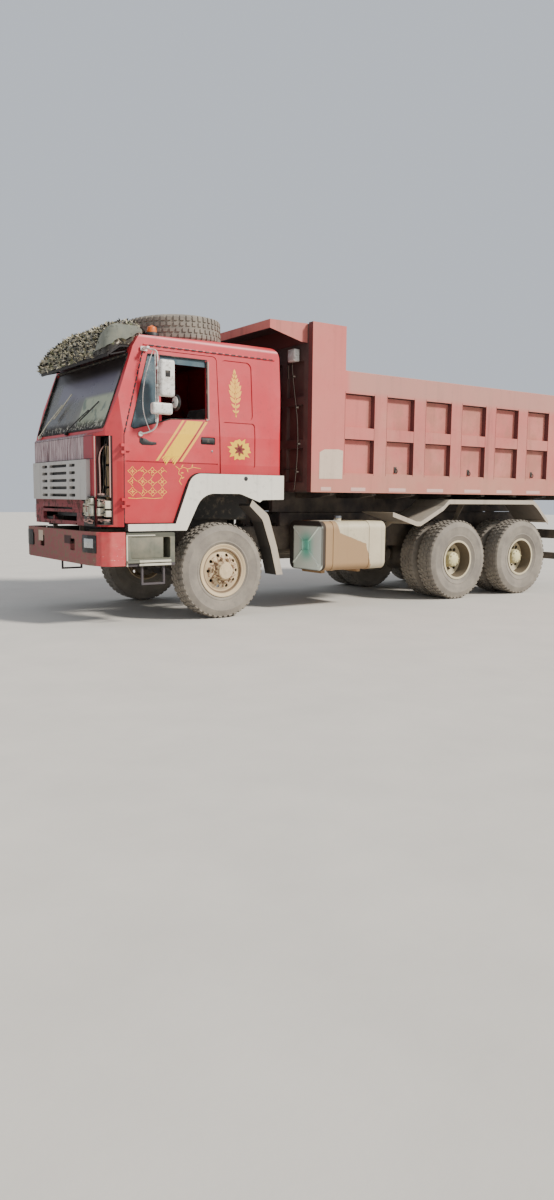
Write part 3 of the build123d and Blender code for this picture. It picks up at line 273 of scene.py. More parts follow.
# Paints: colour, slot, roughness, dust, chips, streaks and faded colour
clear_coat = {"Coat_Weight": 0.12, "Coat_Roughness": 0.4}
cab_red = painted("faded_red_paint", "c22431", "cab_red", 0.40, 0.16, 0.22, 0.16, "c9464d", **clear_coat)
bumper_skin = painted("scuffed_bumper_red", "c4303a", "bumper_red", 0.5, 0.30, 0.30, 0.3, "9a5a55")
bed_skin = painted("dusty_load_body_paint", "c06a62", "bed_pink", 0.72, 0.48, 0.17, 0.35, "c58273")
# Front wall of the load body: the body's pink paint darkened to stand for painted shade
wall_skin_painted_shade = painted("front_wall_paint_in_painted_shade", "4a3735", "bed_pink", 0.7, 0.30, 0.2, 0.4)
tank_skin = painted("stained_tank_paint", "cbbfa2", "tank_green", 0.55, 0.3, 0.2, 0.3)
arch_skin = painted("worn_white_arch_paint", "e0dccf", "cream", 0.5, 0.22, 0.13, 0.3)
frame_black = painted("dusty_frame_black", "2d292a", "frame", 0.75, 0.32, 0.22, 0.2)
guard_grey = painted("dusty_guard_grey", "aca293", "guard_grey", 0.75, 0.45, 0.18, 0.35)
step_grey = painted("grey_green_step_paint", "5e6255", "cream", 0.65, 0.35, 0.15, 0.3)
rim_tan = painted("dusty_wheel_paint", "cbb58f", "rim", 0.65, 0.45, 0.20, 0.2)
rear_rim_cream = painted("dusty_rear_wheel_paint", "c9bd9c", "rim", 0.65, 0.40, 0.22, 0.2)
hub_yellow = painted("pale_yellow_hub_paint", "d6cd9a", "rim", 0.6, 0.25, 0.22, 0.2)
iron = painted("oily_cast_iron", "322f2f", "engine_iron", 0.6, 0.32, 0.25, 0.2)
white_plastic = painted("scuffed_white_plastic", "e4e2dc", "mirror_white", 0.42, 0.16, 0.06, 0.2)
grille_grey = painted("light_grey_grille_paint", "b9b6b2", "cream", 0.55, 0.25, 0.14, 0.4)
marks_yellow = painted("sun_yellow_film", "efbe26", "cab_red", 0.42, 0.14, 0.10, 0.12)
marks_thin = painted("worn_yellow_film", "efb040", "cab_red", 0.45, 0.10, 0.30, 0.0)
marks_dark = painted("dark_red_film", "7c1f24", "cab_red", 0.42, 0.12, 0.1, 0.1)
patch_cream = painted("pale_filler_patch", "cdb8a4", "bed_pink", 0.75, 0.30, 0.16, 0.2)
marker_pale = painted("pale_marker_strip", "cfa59b", "bed_pink", 0.6, 0.35, 0.22, 0.0)
tan_foam = painted("dusty_tan_padding", "a08a68", "cream", 0.8, 0.4, 0.1, 0.3)
lamp_cream = painted("weathered_lamp_housing", "c9c5b2", "cream", 0.6, 0.25, 0.2, 0.3)
edge_pink = painted("faded_post_edge", "b58c82", "cream", 0.6, 0.25, 0.2, 0.3)

# Moulded and bare surfaces: colour, slot, roughness, grain, its depth and dust
black_plastic = plain("black_moulded_plastic", "1c1c1d", "dark_plastic", 0.55)
visor_black = plain("sooty_visor_black", "191315", "dark_plastic", 0.7, dust=0.06)
dash_plastic = plain("dusty_dash_plastic", "34322f", "dark_plastic", 0.6, dust=0.4)
rubber = plain("aged_black_rubber", "222120", "tyre", 0.8, 60, 0.001, 0.35)
steel = plain("greasy_bare_steel", "8b8c8e", "hoist_steel", 0.35, 90, 0.0004, 0.25, Metallic=0.9)
chrome = plain("polished_hoist_steel", "c3c6c9", "hoist_steel", 0.18, 200, 0.0002, 0.12, Metallic=1.0)
lamp_clear = plain("cloudy_lamp_lens", "dfe3e0", "glass", 0.2, 70, 0.0008, 0.3, Transmission_Weight=0.35)
lamp_red = plain("red_lamp_lens", "a3161a", "glass", 0.25, 70, 0.0008, 0.25)
lamp_amber = plain("amber_lamp_lens", "d97a1c", "glass", 0.25, 70, 0.0008, 0.2)
see_through = {"Transmission_Weight": 0.25}
amber_dome = plain("orange_beacon_dome", "f0731c", "beacon_orange", 0.28, 60, 0.0006, 0.25, **see_through)
mirror_glass = plain("mirror_glass", "6f7f8c", "mirror_white", 0.06, 40, 0.0001, 0.1, Metallic=1.0)
leaf_dark = plain("dark_leaf_cloth", "201d1a", "leaf_cloth", 0.95, 60, 0.002, 0.2)
leaf_green = plain("olive_leaf_cloth", "6d6c4c", "leaf_cloth", 0.95, 60, 0.002, 0.25)
leaf_pale = plain("pale_leaf_cloth", "dcd2b6", "leaf_cloth", 0.95, 60, 0.002, 0.2)

white_plastic.stain((34, 7, 0.52, 0.60, 22), "8f8a80", 0.6, 0.7)
white_plastic.stain((9, 7, 0.50, 0.66, 25), "a8a093", 0.55, 0.7)

# Glass: dust, a pale painted reflection at the near side of the windscreen, painted shade from the visor
# along its top and mud along its foot
glass = Finish("dusty_window_glass", "5f757f", 0.12, "glass", Transmission_Weight=0.4, IOR=1.45)
glass.stain((4, 8, 0.38, 0.75, 6), "93a0a2", 0.45, 0.6)
screen_glass = Finish("dusty_windscreen_glass", "474546", 0.16, "glass", Transmission_Weight=0.15, IOR=1.45)
screen_glass.stain((2.6, 6, 0.36, 0.60, 8), "7d7a70", 0.6, 0.5)
screen_glass.patch(None, (-0.70, 1.2), (2.50, 2.76), 0.06, "6f6a80", 0.75, 0.3)
# Painted reflection: a pale patch on the near side of the windscreen, with green clouds inside it
reflection_haze = screen_glass.patch(None, (0.16, 0.98), (2.17, 2.50), 0.03, "bfc7ac", 0.82, 0.6)
screen_glass.stain((7, 6, 0.52, 0.62, 12), "566a66", 0.7, None, reflection_haze)
screen_glass.streaks("c9c4b2", 0.4, 5.0, 1.6)
# Painted shade from the visor across the top of the windscreen
screen_glass.over(screen_glass.ramp("Z", 2.68, 2.80), "2b2225", 0.9, 0.4)
mud = screen_glass.ramp("Z", 2.27, 2.17)
screen_glass.stain((26, 6, 0.62, 0.50, 15), "2f2a27", 0.9, 0.9, mud)
screen_glass.stain((26, 6, 0.53, 0.60, 15), "c9c4b4", 0.9, 0.9, mud)

# Tyre rubber and cloths
tyre_rubber = Finish("dusty_tyre_rubber", "7b746b", 0.88, "tyre")
tyre_rubber.stain((5, 8, 0.30, 0.75, 1), "9b9284", 0.7, 0.95)
tyre_rubber.stain((60, 6, 0.58, 0.76, 2), "3b3835", 0.4)
tyre_rubber.bump(tyre_rubber.cloud(130, 6), 0.0012, 0.6)

seat_cloth = Finish("worn_seat_cloth", "4a4440", 0.95, "trim_fabric", Sheen_Weight=0.3)
seat_cloth.stain((12, 6, 0.45, 0.7, 3), "75695c", 0.5)
weave = seat_cloth.add("ShaderNodeTexVoronoi", {"Vector": seat_cloth.place, "Scale": 260.0})
seat_cloth.bump(weave.outputs["Distance"], 0.0012, 0.7)

heap_cloth = Finish("dark_camouflage_cloth", "45403a", 0.95, "leaf_cloth", Sheen_Weight=0.3)
heap_cloth.stain((13, 6, 0.50, 0.56, 2), "8d876c", 0.9)
heap_cloth.stain((11, 6, 0.54, 0.60, 7), "59603f", 0.9)
heap_cloth.stain((17, 6, 0.58, 0.63, 11), "d6cdb4", 0.9)
heap_cloth.patch(None, (0.66, 1.35), (2.75, 2.99), 0.02, "1c1917", 0.93)
heap_cloth.bump(heap_cloth.cloud(40, 6), 0.006, 0.8)

tarp = Finish("grey_green_tarpaulin", "6d7066", 0.85, "leaf_cloth", Sheen_Weight=0.2)
tarp.stain((7, 7, 0.42, 0.72, 3), "858370", 0.5)
tarp.stain((24, 7, 0.56, 0.72, 6), "43473e", 0.7)
tarp.bump(tarp.cloud(240, 3), 0.0008, 0.6)

# Cab paint: redder and darker below the crease, pale streaked panel above the grille
cab_red.patch((-1, 1.3), (-2, 2), (0.9, 1.768), 0.006, "b01824", 0.45, 0.42)
panel = cab_red.patch((1.36, 1.60), (-0.93, 0.66), (1.795, 2.075), 0.01, "b9aaab", 0.92, 0.7)
cab_red.stain((46, 4, 0.49, 0.55, 4, (1, 1, 0.05)), "5c2c35", 0.85, 0.6, panel)
# Painted shade from the visor on the cab's front above the windscreen
cab_red.patch((1.02, 1.36), (-0.975, 0.975), (2.80, 3.0), 0.006, "2c2023", 0.93, 0.7)
cab_red.patch((1.335, 1.477), (0.940, 1.115), (1.095, 2.033), 0.003, "231c1b", 0.93, 0.85)
cab_red.patch((1.4785, 1.60), (0.66, 0.950), (1.37, 2.075), 0.008, "7a2634", 0.8, 0.6)
beam = cab_red.patch((1.36, 1.60), (-1.2, 0.94), (1.0, 1.36), 0.01, "6b3236", 0.8, 0.8)
cab_red.stain((15, 8, 0.50, 0.60, 13), "3b261d", 0.8, 0.9, beam)

# Bumper: dull dirt over the middle and the far half, bright red at the near end
dull = bumper_skin.ramp("Y", 1.075, 1.045)
bumper_skin.over(dull, "82504e", 0.85, 0.75)
bumper_skin.stain((16, 8, 0.46, 0.60, 21), "7d6857", 0.85, 0.9, dull)
low_band = bumper_skin.zone(None, (0.95, 1.3), (0.70, 0.86), 0.05)
bumper_skin.stain((13, 6, 0.63, 0.68, 31, (1, 1, 6)), "ecc2ba", 0.9, 0.7, low_band)
bumper_skin.patch(None, (0.24, 0.45), (0.868, 0.962), 0.006, "3d2727", 0.93, 0.8)
bumper_skin.over(bumper_skin.ramp("Y", -0.92, -1.10), "3a2a26", 0.7, 0.9)

# Load body: redder front pockets, browner top rail and scuffed lower edge
bed_skin.patch((-2.20, -1.1), (-2, 2), (1.4, 3.6), 0.3, "cf6d66", 0.45)
bed_skin.patch((-7, -1.75), (-2, 2), (2.70, 3.1), 0.05, "b08c7e", 0.55)
bed_skin.patch((-7, 0), (-2, 2), (1.4, 1.72), 0.06, "b5806c", 0.5)
pockets = bed_skin.zone((-6.85, -2.1), None, (1.70, 2.70), 0.01)
pockets = bed_skin.both(pockets, bed_skin.aside(1.200, 1.190))
bed_skin.stain((3.5, 7, 0.40, 0.62, 27), "9c6a58", 0.5, None, pockets)
# Painted shade: faces that look down, such as the canopy's underside, darkened almost to black
bed_skin.over(bed_skin.lean("Z", -0.12, -0.35), "1a1114", 0.93, 0.85)
# Painted shade: forward-facing faces behind the front of the body, such as the pockets' walls, darkened
forward_faces_shade = bed_skin.both(bed_skin.lean("X", 0.4, 0.7), bed_skin.ramp("X", -1.10, -1.14))
bed_skin.over(forward_faces_shade, "4a2326", 0.88, 0.8)
inside = bed_skin.patch((-6.85, -1.235), (-1.168, 1.168), (1.47, 3.0), 0.002, "6d6259", 0.85, 0.7)
bed_skin.stain((9, 8, 0.48, 0.62, 17, (1, 1, 0.3)), "9b8468", 0.8, 0.95, inside)
wall_skin_painted_shade.patch((-1.6, -1.236), (-1.2, 1.2), (1.47, 3.6), 0.002, "8a7462", 0.6)

# Fuel tank: tan dirt low on the side, pale cream above, pale green front end with a turquoise middle
along = tank_skin.math("ADD", tank_skin.parts["X"], tank_skin.both(tank_skin.cloud(6, 5, 5), 0.10))
height = tank_skin.math("ADD", tank_skin.parts["Z"], tank_skin.both(tank_skin.cloud(5, 5, 8), 0.08))


def under_line(x, z, slope):
    """1 below a slanting line through a point on the tank's side."""
    foot = z + 0.04 - slope * (AXLE + x + 0.05)
    line = tank_skin.add("ShaderNodeMath", {0: along, 1: slope, 2: foot}, operation="MULTIPLY_ADD")
    return tank_skin.step(tank_skin.math("SUBTRACT", height, line.outputs[0]), 0.004, -0.004)


tan = tank_skin.math("MAXIMUM", under_line(-1.707, 0.956, 0.31), under_line(-1.690, 0.956, 5.0))
tank_skin.over(tank_skin.both(tan, under_line(-2.143, 0.751, 3.0)), "9c7a54", 0.92, 0.75)
# Painted shade of the gap before the end box: a dark band round the front end and a dark frame round the
# pale sheet
tank_skin.over(tank_skin.ramp("X", -1.468, -1.462), "2b2622", 0.92, 0.9)
end_face = tank_skin.ramp("X", -1.424, -1.418)
tank_skin.over(end_face, "332c27", 1.0, 0.8)
sheet = tank_skin.zone(None, (0.610, 1.192), (0.500, 1.045), 0.012)
tank_skin.over(tank_skin.both(end_face, sheet), "f2fcef", 1.0, 0.5)
middle = tank_skin.zone(None, (0.78, 0.98), (0.64, 0.94), 0.09)
tank_skin.over(tank_skin.both(middle, end_face), "63dcc0", 0.85, 0.5)

# Front wheel arches: black liner inside the white skirt
liner = arch_skin.aside(1.196, 1.192)
arch_skin.over(liner, "1b1918", 0.95, 0.85)
scuffed = arch_skin.both(arch_skin.zone((-0.62, 0.1), None, (1.22, 1.52), 0.06), liner)
arch_skin.stain((17, 7, 0.60, 0.64, 19), "d9d3c6", 0.9, 0.8, scuffed)

# Entry steps: the foot loop under the box, its dark grey deepened by painted shade, and a painted shadow
# band at its top
step_grey.patch(None, None, (0.40, 0.684), 0.004, "463f44", 0.92, 0.7)
step_grey.patch(None, None, (0.968, 1.05), 0.006, "3f4239", 0.75, 0.8)

# Guards: black inner faces of the front flaps, and painted shade darkening the under sides at the rear
ahead_and_below = guard_grey.lean("X", 0.15, 0.30), guard_grey.lean("Z", -0.15, -0.30)
inner_face = guard_grey.math("MAXIMUM", *ahead_and_below)
guard_grey.over(guard_grey.both(guard_grey.ramp("X", -1.30, -1.28), inner_face), "1d1b1a", 0.95, 0.85)
# Painted shade on faces that look down
guard_grey.over(guard_grey.lean("Z", -0.25, -0.5), "544c45", 0.7, 0.85)

# Wheels: painted shade in the step inside the front flange, rust and painted shade round the nuts, painted
# shade on the inner walls at the rear
offsets = [rim_tan.math("SUBTRACT", rim_tan.parts[i], hub) for i, hub in (("X", AXLE), ("Z", HUB_Z))]
radial = rim_tan.math("SQRT", rim_tan.math("ADD", *[rim_tan.both(offset, offset) for offset in offsets]))
# Painted shade: a dark ring in the step between the front flange and the disc
flange_step_shade = rim_tan.both(rim_tan.step(radial, 0.236, 0.243), rim_tan.step(radial, 0.264, 0.257))
rim_tan.over(flange_step_shade, "5a4434", 0.8, 0.85)
# Rust-brown clouds round the nuts, which also stand for their painted shade
nut_ring = rim_tan.both(rim_tan.step(radial, 0.088, 0.100), rim_tan.step(radial, 0.205, 0.190))
rim_tan.stain((30, 6, 0.46, 0.56, 14), "6b4833", 0.85, 0.85, nut_ring)
# Painted shade on the rear rims' inner walls, the faces that do not look along the axle
inner_wall_shade = rear_rim_cream.step(rear_rim_cream.math("ABSOLUTE", rear_rim_cream.facing("Y")), 0.50, 0.25)
rear_rim_cream.over(inner_wall_shade, "4d3f31", 0.85, 0.85)

NODE_FINISHES = (
    (frame_black, "frame_rails sub_frame rear_bar hoist_base bed_floor hoist_barrel"),
    (iron, "front_axle rear_axles springs engine drive_line knuckle_left knuckle_right tie_rod"),
    (guard_grey, "air_tanks mudguards"),
    (tank_skin, "fuel_tank"),
    (bumper_skin, "bumper"),
    (step_grey, "entry_steps"),
    (cab_red, "cab_roof cab_back cab_sides cab_front door_left door_right"),
    (arch_skin, "cab_arches"),
    (grille_grey, "grille"),
    (screen_glass, "windscreen"),
    (glass, "glass_left glass_right"),
    (white_plastic, "mirror_left mirror_right"),
    (dash_plastic, "cab_floor dashboard"),
    (seat_cloth, "seats"),
    (visor_black, "visor"),
    (heap_cloth, "visor_cover"),
    (amber_dome, "beacon"),
    (bed_skin, "bed_sides canopy tailgate"),
    (wall_skin_painted_shade, "bed_front"),
    (chrome, "hoist_stage_1 hoist_stage_2 hoist_stage_3 hoist_stage_4"),
    (tyre_rubber, "roof_tyre " + " ".join("tyre_" + wheel for wheel, x, side in WHEELS)),
    (rim_tan, "rim_front_left rim_front_right"),
    (rear_rim_cream, "rim_mid_left rim_mid_right rim_rear_left rim_rear_right"),
)
for finish, names in NODE_FINISHES:
    for name in names.split():
        nodes[name].data.materials.clear()
        nodes[name].data.materials.append(finish.material)


# Modelling steps
def active(obj):
    bpy.ops.object.select_all(action="DESELECT")
    obj.select_set(True)
    bpy.context.view_layer.objects.active = obj


def edit(obj, test=None):
    """Opens a piece for shaping with all its faces selected, or those that pass the test."""
    active(obj)
    bpy.ops.object.mode_set(mode="EDIT")
    bpy.ops.mesh.select_mode(type="FACE")
    bpy.ops.mesh.select_all(action="DESELECT" if test else "SELECT")
    if test:
        mesh = bmesh.from_edit_mesh(obj.data)
        for face in mesh.faces:
            face.select_set(bool(test(face.calc_center_median(), face.normal)))
        bmesh.update_edit_mesh(obj.data)


def close_edit():
    bpy.ops.object.mode_set(mode="OBJECT")


def divide(obj, cuts):
    edit(obj)
    bpy.ops.mesh.subdivide(number_cuts=cuts)
    close_edit()


def join(objects):
    active(objects[0])
    for obj in objects[1:]:
        obj.select_set(True)
    if len(objects) > 1:
        bpy.ops.object.join()
    return bpy.context.object


def settle(parts, name, finish, body="cab", smooth=35, stands_for=None):
    """Joins a piece, applies what is live on it, names it, and lets it ride on its body."""
    obj = join(parts if isinstance(parts, list) else [parts])
    for modifier in list(obj.modifiers):
        bpy.ops.object.modifier_apply(modifier=modifier.name)
    bpy.ops.object.transform_apply(location=True, rotation=True, scale=True)
    if smooth:
        bpy.ops.object.shade_smooth_by_angle(angle=math.radians(smooth))
    obj.name = name
    obj.data.name = name
    obj.data.materials.clear()
    obj.data.materials.append(finish.material)
    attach(obj, body)
    if stands_for:
        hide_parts(stands_for)
    return obj


def trace(points, close=True):
    """Draws a line through the points by extruding one vertex along it, and fills it when closed."""
    bpy.ops.mesh.primitive_plane_add(size=0.01)
    obj = bpy.context.object
    bpy.ops.object.mode_set(mode="EDIT")
    bpy.ops.mesh.select_mode(type="VERT")
    bpy.ops.mesh.merge(type="CENTER")
    bpy.ops.transform.translate(value=points[0])
    for a, b in zip(points, points[1:]):
        bpy.ops.mesh.extrude_region_move(TRANSFORM_OT_translate={"value": b - a})
    bpy.ops.mesh.select_all(action="SELECT")
    if close:
        bpy.ops.mesh.edge_face_add()
    return obj


def plate(points, depth, edge):
    """Outline filled, carried along the depth and given soft edges."""
    obj = trace(points)
    bpy.ops.mesh.extrude_region_move(TRANSFORM_OT_translate={"value": Vector(depth)})
    bpy.ops.mesh.select_all(action="SELECT")
    bpy.ops.mesh.normals_make_consistent(inside=False)
    bpy.ops.mesh.bevel(offset=edge, segments=2, affect="EDGES")
    close_edit()
    return obj


def cube(low, high):
    bpy.ops.mesh.primitive_cube_add(size=1, location=(low + high) / 2, scale=high - low)
    bpy.ops.object.transform_apply(location=True, rotation=True, scale=True)
    return bpy.context.object


def block(x0, x1, y0, y1, z0, z1, edge=0.004, segments=2, side=1):
    """Block between two corners with rounded edges; side -1 mirrors it to the right."""
    y0, y1 = sorted((side * y0, side * y1))
    obj = cube(at(x0, y0, z0), at(x1, y1, z1))
    edit(obj)
    bpy.ops.mesh.bevel(offset=edge, segments=segments, affect="EDGES")
    close_edit()
    return obj


def blocks(rows, side=1):
    """Blocks from rows of x, y and z ranges, an edge and its segments."""
    return [block(*row, side=side) for row in rows]


AXIS_TURN = {"X": (0, math.pi / 2, 0), "Y": (math.pi / 2, 0, 0), "Z": (0, 0, 0)}


def barrel(middle, radius, depth, axis="Z", sides=24, edge=0.002):
    """Round bar about its middle with chamfered ends."""
    size = {"vertices": sides, "radius": radius, "depth": depth}
    bpy.ops.mesh.primitive_cylinder_add(location=middle, rotation=AXIS_TURN[axis], **size)
    obj = bpy.context.object
    bpy.ops.object.transform_apply(location=True, rotation=True, scale=True)
    edit(obj, lambda place, normal: abs(normal["XYZ".index(axis)]) > 0.9)
    bpy.ops.mesh.bevel(offset=edge, segments=2, affect="EDGES")
    close_edit()
    return obj


def lathe(rows, middle, axis="Y", steps=48, way=1):
    """Turns rows of radius and offset about an axis through the middle."""
    lane = Vector([letter == axis for letter in "XYZ"])
    arm = Vector((1, 0, 0)) if axis == "Z" else Vector((0, 0, 1))
    obj = trace([middle + arm * radius + lane * offset * way for radius, offset in rows], close=False)
    bpy.ops.mesh.spin(steps=steps, angle=math.tau, center=middle, axis=lane)
    bpy.ops.mesh.select_all(action="SELECT")
    bpy.ops.mesh.remove_doubles(threshold=0.0002)
    bpy.ops.mesh.normals_make_consistent(inside=False)
    close_edit()
    return obj


def tube(points, radius, rounded=False, resolution=2):
    """Bar or line along points, as a mesh."""
    curve = bpy.data.curves.new("line", "CURVE")
    curve.dimensions = "3D"
    curve.bevel_depth = radius
    curve.bevel_resolution = resolution
    curve.use_fill_caps = True
    spline = curve.splines.new("NURBS" if rounded else "POLY")
    spline.points.add(len(points) - 1)
    for point, place in zip(spline.points, points):
        point.co = (*place, 1)
    if rounded:
        spline.order_u = 3
        spline.use_endpoint_u = True
    obj = bpy.data.objects.new("line", curve)
    bpy.context.collection.objects.link(obj)
    active(obj)
    bpy.ops.object.convert(target="MESH")
    return bpy.context.object


def twin_of(obj):
    """Copy of a piece with its own mesh, free of its parent."""
    twin = obj.copy()
    twin.data = obj.data.copy()
    twin.parent = None
    bpy.context.collection.objects.link(twin)
    return twin


def copy_to(obj, name, matrix, body=None):
    """Copy of a finished piece moved by the matrix."""
    twin = twin_of(obj)
    twin.data.transform(matrix)
    twin.name = name
    twin.data.name = name
    if body:
        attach(twin, body)
    return twin


def side_y(z, sunk=0.0):
    """How far out the cab's side stands at a height."""
    return CAB_SIDE - max(z - SHOULDER_Z, 0) * SIDE_LEAN - sunk


# Tyre: turned carcass, then the tread blocks are picked by place, inset and raised
TREAD_STEPS = 144
TREAD_BASE = 0.541
TREAD_LOW = 0.530
SHOULDER_IN = 0.068
MIDDLE_OUT = 0.056
MIDDLE_IN = 0.010
# Half of the carcass: radius and offset, from the bead to the middle of the tread
CARCASS = (
    (0.254, -0.104), (0.280, -0.116), (0.330, -0.134), (0.336, -0.139), (0.344, -0.139), (0.350, -0.136),
    (0.410, -0.150), (0.455, -0.147), (0.462, -0.150), (0.470, -0.148), (0.494, -0.139), (0.527, -0.126),
    (TREAD_BASE, -0.106), (TREAD_BASE, -SHOULDER_IN), (TREAD_BASE, -MIDDLE_OUT), (TREAD_BASE, -MIDDLE_IN),
)


def tread_block(middle, normal):
    """Picks the faces that rise as tread blocks, two steps out of three, staggered by row."""
    if math.hypot(middle.x, middle.z) < TREAD_LOW:
        return False
    step = int(math.atan2(middle.z, middle.x) % math.tau / math.tau * TREAD_STEPS)
    width, left = abs(middle.y), middle.y > 0
    if width > SHOULDER_IN:
        return (step + left) % 3 != 0
    return MIDDLE_IN < width < MIDDLE_OUT and (step + 2 * left) % 3 != 1


def make_tyre():
    far_half = [(radius, -offset) for radius, offset in reversed(CARCASS)]
    obj = lathe([*CARCASS, (TREAD_BASE, 0.0), *far_half, CARCASS[0]], Vector(), "Y", TREAD_STEPS)
    edit(obj, tread_block)
    bpy.ops.mesh.inset(thickness=0.003, use_even_offset=True)
    bpy.ops.mesh.extrude_region_shrink_fatten(TRANSFORM_OT_shrink_fatten={"value": 0.0125})
    close_edit()
    bpy.ops.object.shade_smooth_by_angle(angle=math.radians(32))
    obj.data.materials.clear()
    obj.data.materials.append(tyre_rubber.material)
    return obj


pattern_tyre = make_tyre()
for wheel, x, side in WHEELS:
    rows = [("outer", FRONT_Y)] if "front" in wheel else [("inner", DUAL_IN), ("outer", DUAL_OUT)]
    for place, y in rows:
        turned = Matrix.Translation(at(x, side * y, HUB_Z)) @ Matrix.Rotation(0.37 * y * side + x, 4, "Y")
        tyre = copy_to(pattern_tyre, "tread_" + wheel + "_" + place, turned, "wheel_" + wheel)
        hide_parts("tyre_" + wheel)

# Spare tyre, lying on the roof's slope
SPARE_X = 0.250
ROOF_FRONT_X = 1.010
ROOF_FRONT_Z = 3.108
ROOF_REAR_X = -0.805
ROOF_REAR_Z = 3.166
TYRE_HALF = 0.150
SEAT_GAP = 0.0003
slope = math.atan2(ROOF_REAR_Z - ROOF_FRONT_Z, ROOF_FRONT_X - ROOF_REAR_X)
spare_z = ROOF_FRONT_Z + (ROOF_FRONT_X - SPARE_X) * math.tan(slope) + TYRE_HALF / math.cos(slope) + SEAT_GAP
lying = Matrix.Rotation(slope, 4, "Y") @ Matrix.Rotation(math.pi / 2, 4, "X")
lying = Matrix.Translation(at(SPARE_X, 0.420, spare_z)) @ lying
spare = copy_to(pattern_tyre, "spare_tyre_tread", lying, "cab")
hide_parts("roof_tyre")
bpy.data.objects.remove(pattern_tyre)


# Wheels: flanges, nuts, hub covers and hub bolts
def fasteners(stem, wheel, x, side, finish, count, reach, start, rows):
    """Ring about a hub, of parts with rows of y, radius and depth, sides and edge."""
    part = join([barrel(at(x, side * y, HUB_Z), *size, "Y", *end) for y, size, end in rows])
    ring = []
    for index in range(count):
        angle = start + math.tau * index / count
        shift = Vector((math.sin(angle) * reach, 0, math.cos(angle) * reach))
        ring.append(copy_to(part, "ring", Matrix.Translation(shift)))
    bpy.data.objects.remove(part)
    settle(ring, stem + wheel, finish, "wheel_" + wheel)


# Radius and offset of the turned pieces
FLANGE = [
    (0.252, 0.104), (0.268, 0.122), (0.290, 0.134), (0.303, 0.138),
    (0.309, 0.134), (0.303, 0.124), (0.270, 0.108), (0.252, 0.104),
]
HUB_COVER = [
    (0.0, 0.071), (0.052, 0.070), (0.060, 0.066), (0.090, 0.052), (0.098, 0.046),
    (0.106, 0.020), (0.110, -0.055), (0.060, -0.058), (0.0, -0.058),
]
STUD = ((0.0095, 0.030), (10, 0.002))
for wheel, x, side in WHEELS:
    spot = (wheel, x, side)
    if "front" in wheel:
        flange = lathe(FLANGE, at(x, side * FRONT_Y, HUB_Z), "Y", 64, side)
        settle(flange, "wheel_flange_" + wheel, rim_tan, "wheel_" + wheel)
        nuts = [(FRONT_Y + 0.138, (0.0165, 0.028), (6, 0.003)), (FRONT_Y + 0.148, *STUD)]
        fasteners("wheel_nuts_", *spot, rim_tan, 10, 0.136, 0.15, nuts)
        bolts = [(FRONT_Y + 0.196, (0.009, 0.016), (6, 0.002))]
        fasteners("hub_cap_bolts_", *spot, rim_tan, 6, 0.070, 0, bolts)
    else:
        nuts = [(DUAL_OUT - 0.070, (0.0165, 0.034), (6, 0.003)), (DUAL_OUT - 0.054, *STUD)]
        fasteners("wheel_nuts_", *spot, rear_rim_cream, 10, 0.140, 0.2, nuts)
        cover = lathe(HUB_COVER, at(x, side * DUAL_OUT, HUB_Z), "Y", 36, side)
        settle(cover, "hub_cover_" + wheel, hub_yellow, "wheel_" + wheel)
        bolts = [(DUAL_OUT + 0.060, (0.010, 0.020), (6, 0.002))]
        fasteners("hub_bolts_", *spot, hub_yellow, 8, 0.080, 0.1, bolts)


# Ornament on the cab's side: drawn on the centre plane, then laid on the skin by its height
def film(outlines, lift=0.0012, sunk=0.0):
    """Thin film cut to outlines of x and z, laid on the side of the cab."""
    parts = []
    for rows in outlines:
        parts.append(trace(flat(rows, 0)))
        close_edit()
    obj = join(parts)
    edit(obj)
    bpy.ops.mesh.bisect(plane_co=(0, 0, SHOULDER_Z), plane_no=(0, 0, 1))
    close_edit()
    for vertex in obj.data.vertices:
        vertex.co.y = side_y(vertex.co.z, sunk) + lift + vertex.co.y
    solid = obj.modifiers.new("film", "SOLIDIFY")
    solid.thickness = 0.0008
    solid.offset = 0
    return obj


def ribbon(points, width):
    """Outlines of a stroke along points, one slim four-sided patch a run."""
    runs = []
    for (ax, az), (bx, bz) in zip(points, points[1:]):
        length = math.hypot(bx - ax, bz - az)
        nx, nz = -(bz - az) / length * width / 2, (bx - ax) / length * width / 2
        end = [(bx + nx * 0.7, bz + nz * 0.7), (bx - nx * 0.7, bz - nz * 0.7)]
        runs.append([(ax + nx, az + nz), *end, (ax - nx, az - nz)])
    return runs


# Leaf: how far along it and how wide, as shares
LEAF = ((0, 0.04), (0.25, 0.8), (0.55, 1.0), (0.8, 0.55), (1.0, 0.0))


def leaf(x, z, length, turn, width=0.32):
    """Pointed leaf outline that starts at x, z and reaches out in the turn's direction."""
    ux, uz = math.cos(turn), math.sin(turn)
    edges = []
    for way, rows in ((1, LEAF), (-1, LEAF[-2::-1])):
        for share, swell in rows:
            run, out = share * length, way * swell * width * length / 2
            edges.append((x + ux * run - uz * out, z + uz * run + ux * out))
    return edges


# Slanting stripe on the door: a wide band between two thin lines, flame tips at its foot
BAND_TOP = 2.235
BAND_LOW = 1.835
LINE_LOW = 1.786
SLANT = 0.74
TIP_PITCH = 0.0255


def slanted(front, rear, low):
    """Slanting strip; front and rear are its edges at the band's top."""
    drop = (BAND_TOP - low) * SLANT
    return [(front, BAND_TOP), (rear, BAND_TOP), (rear + drop, low), (front + drop, low)]


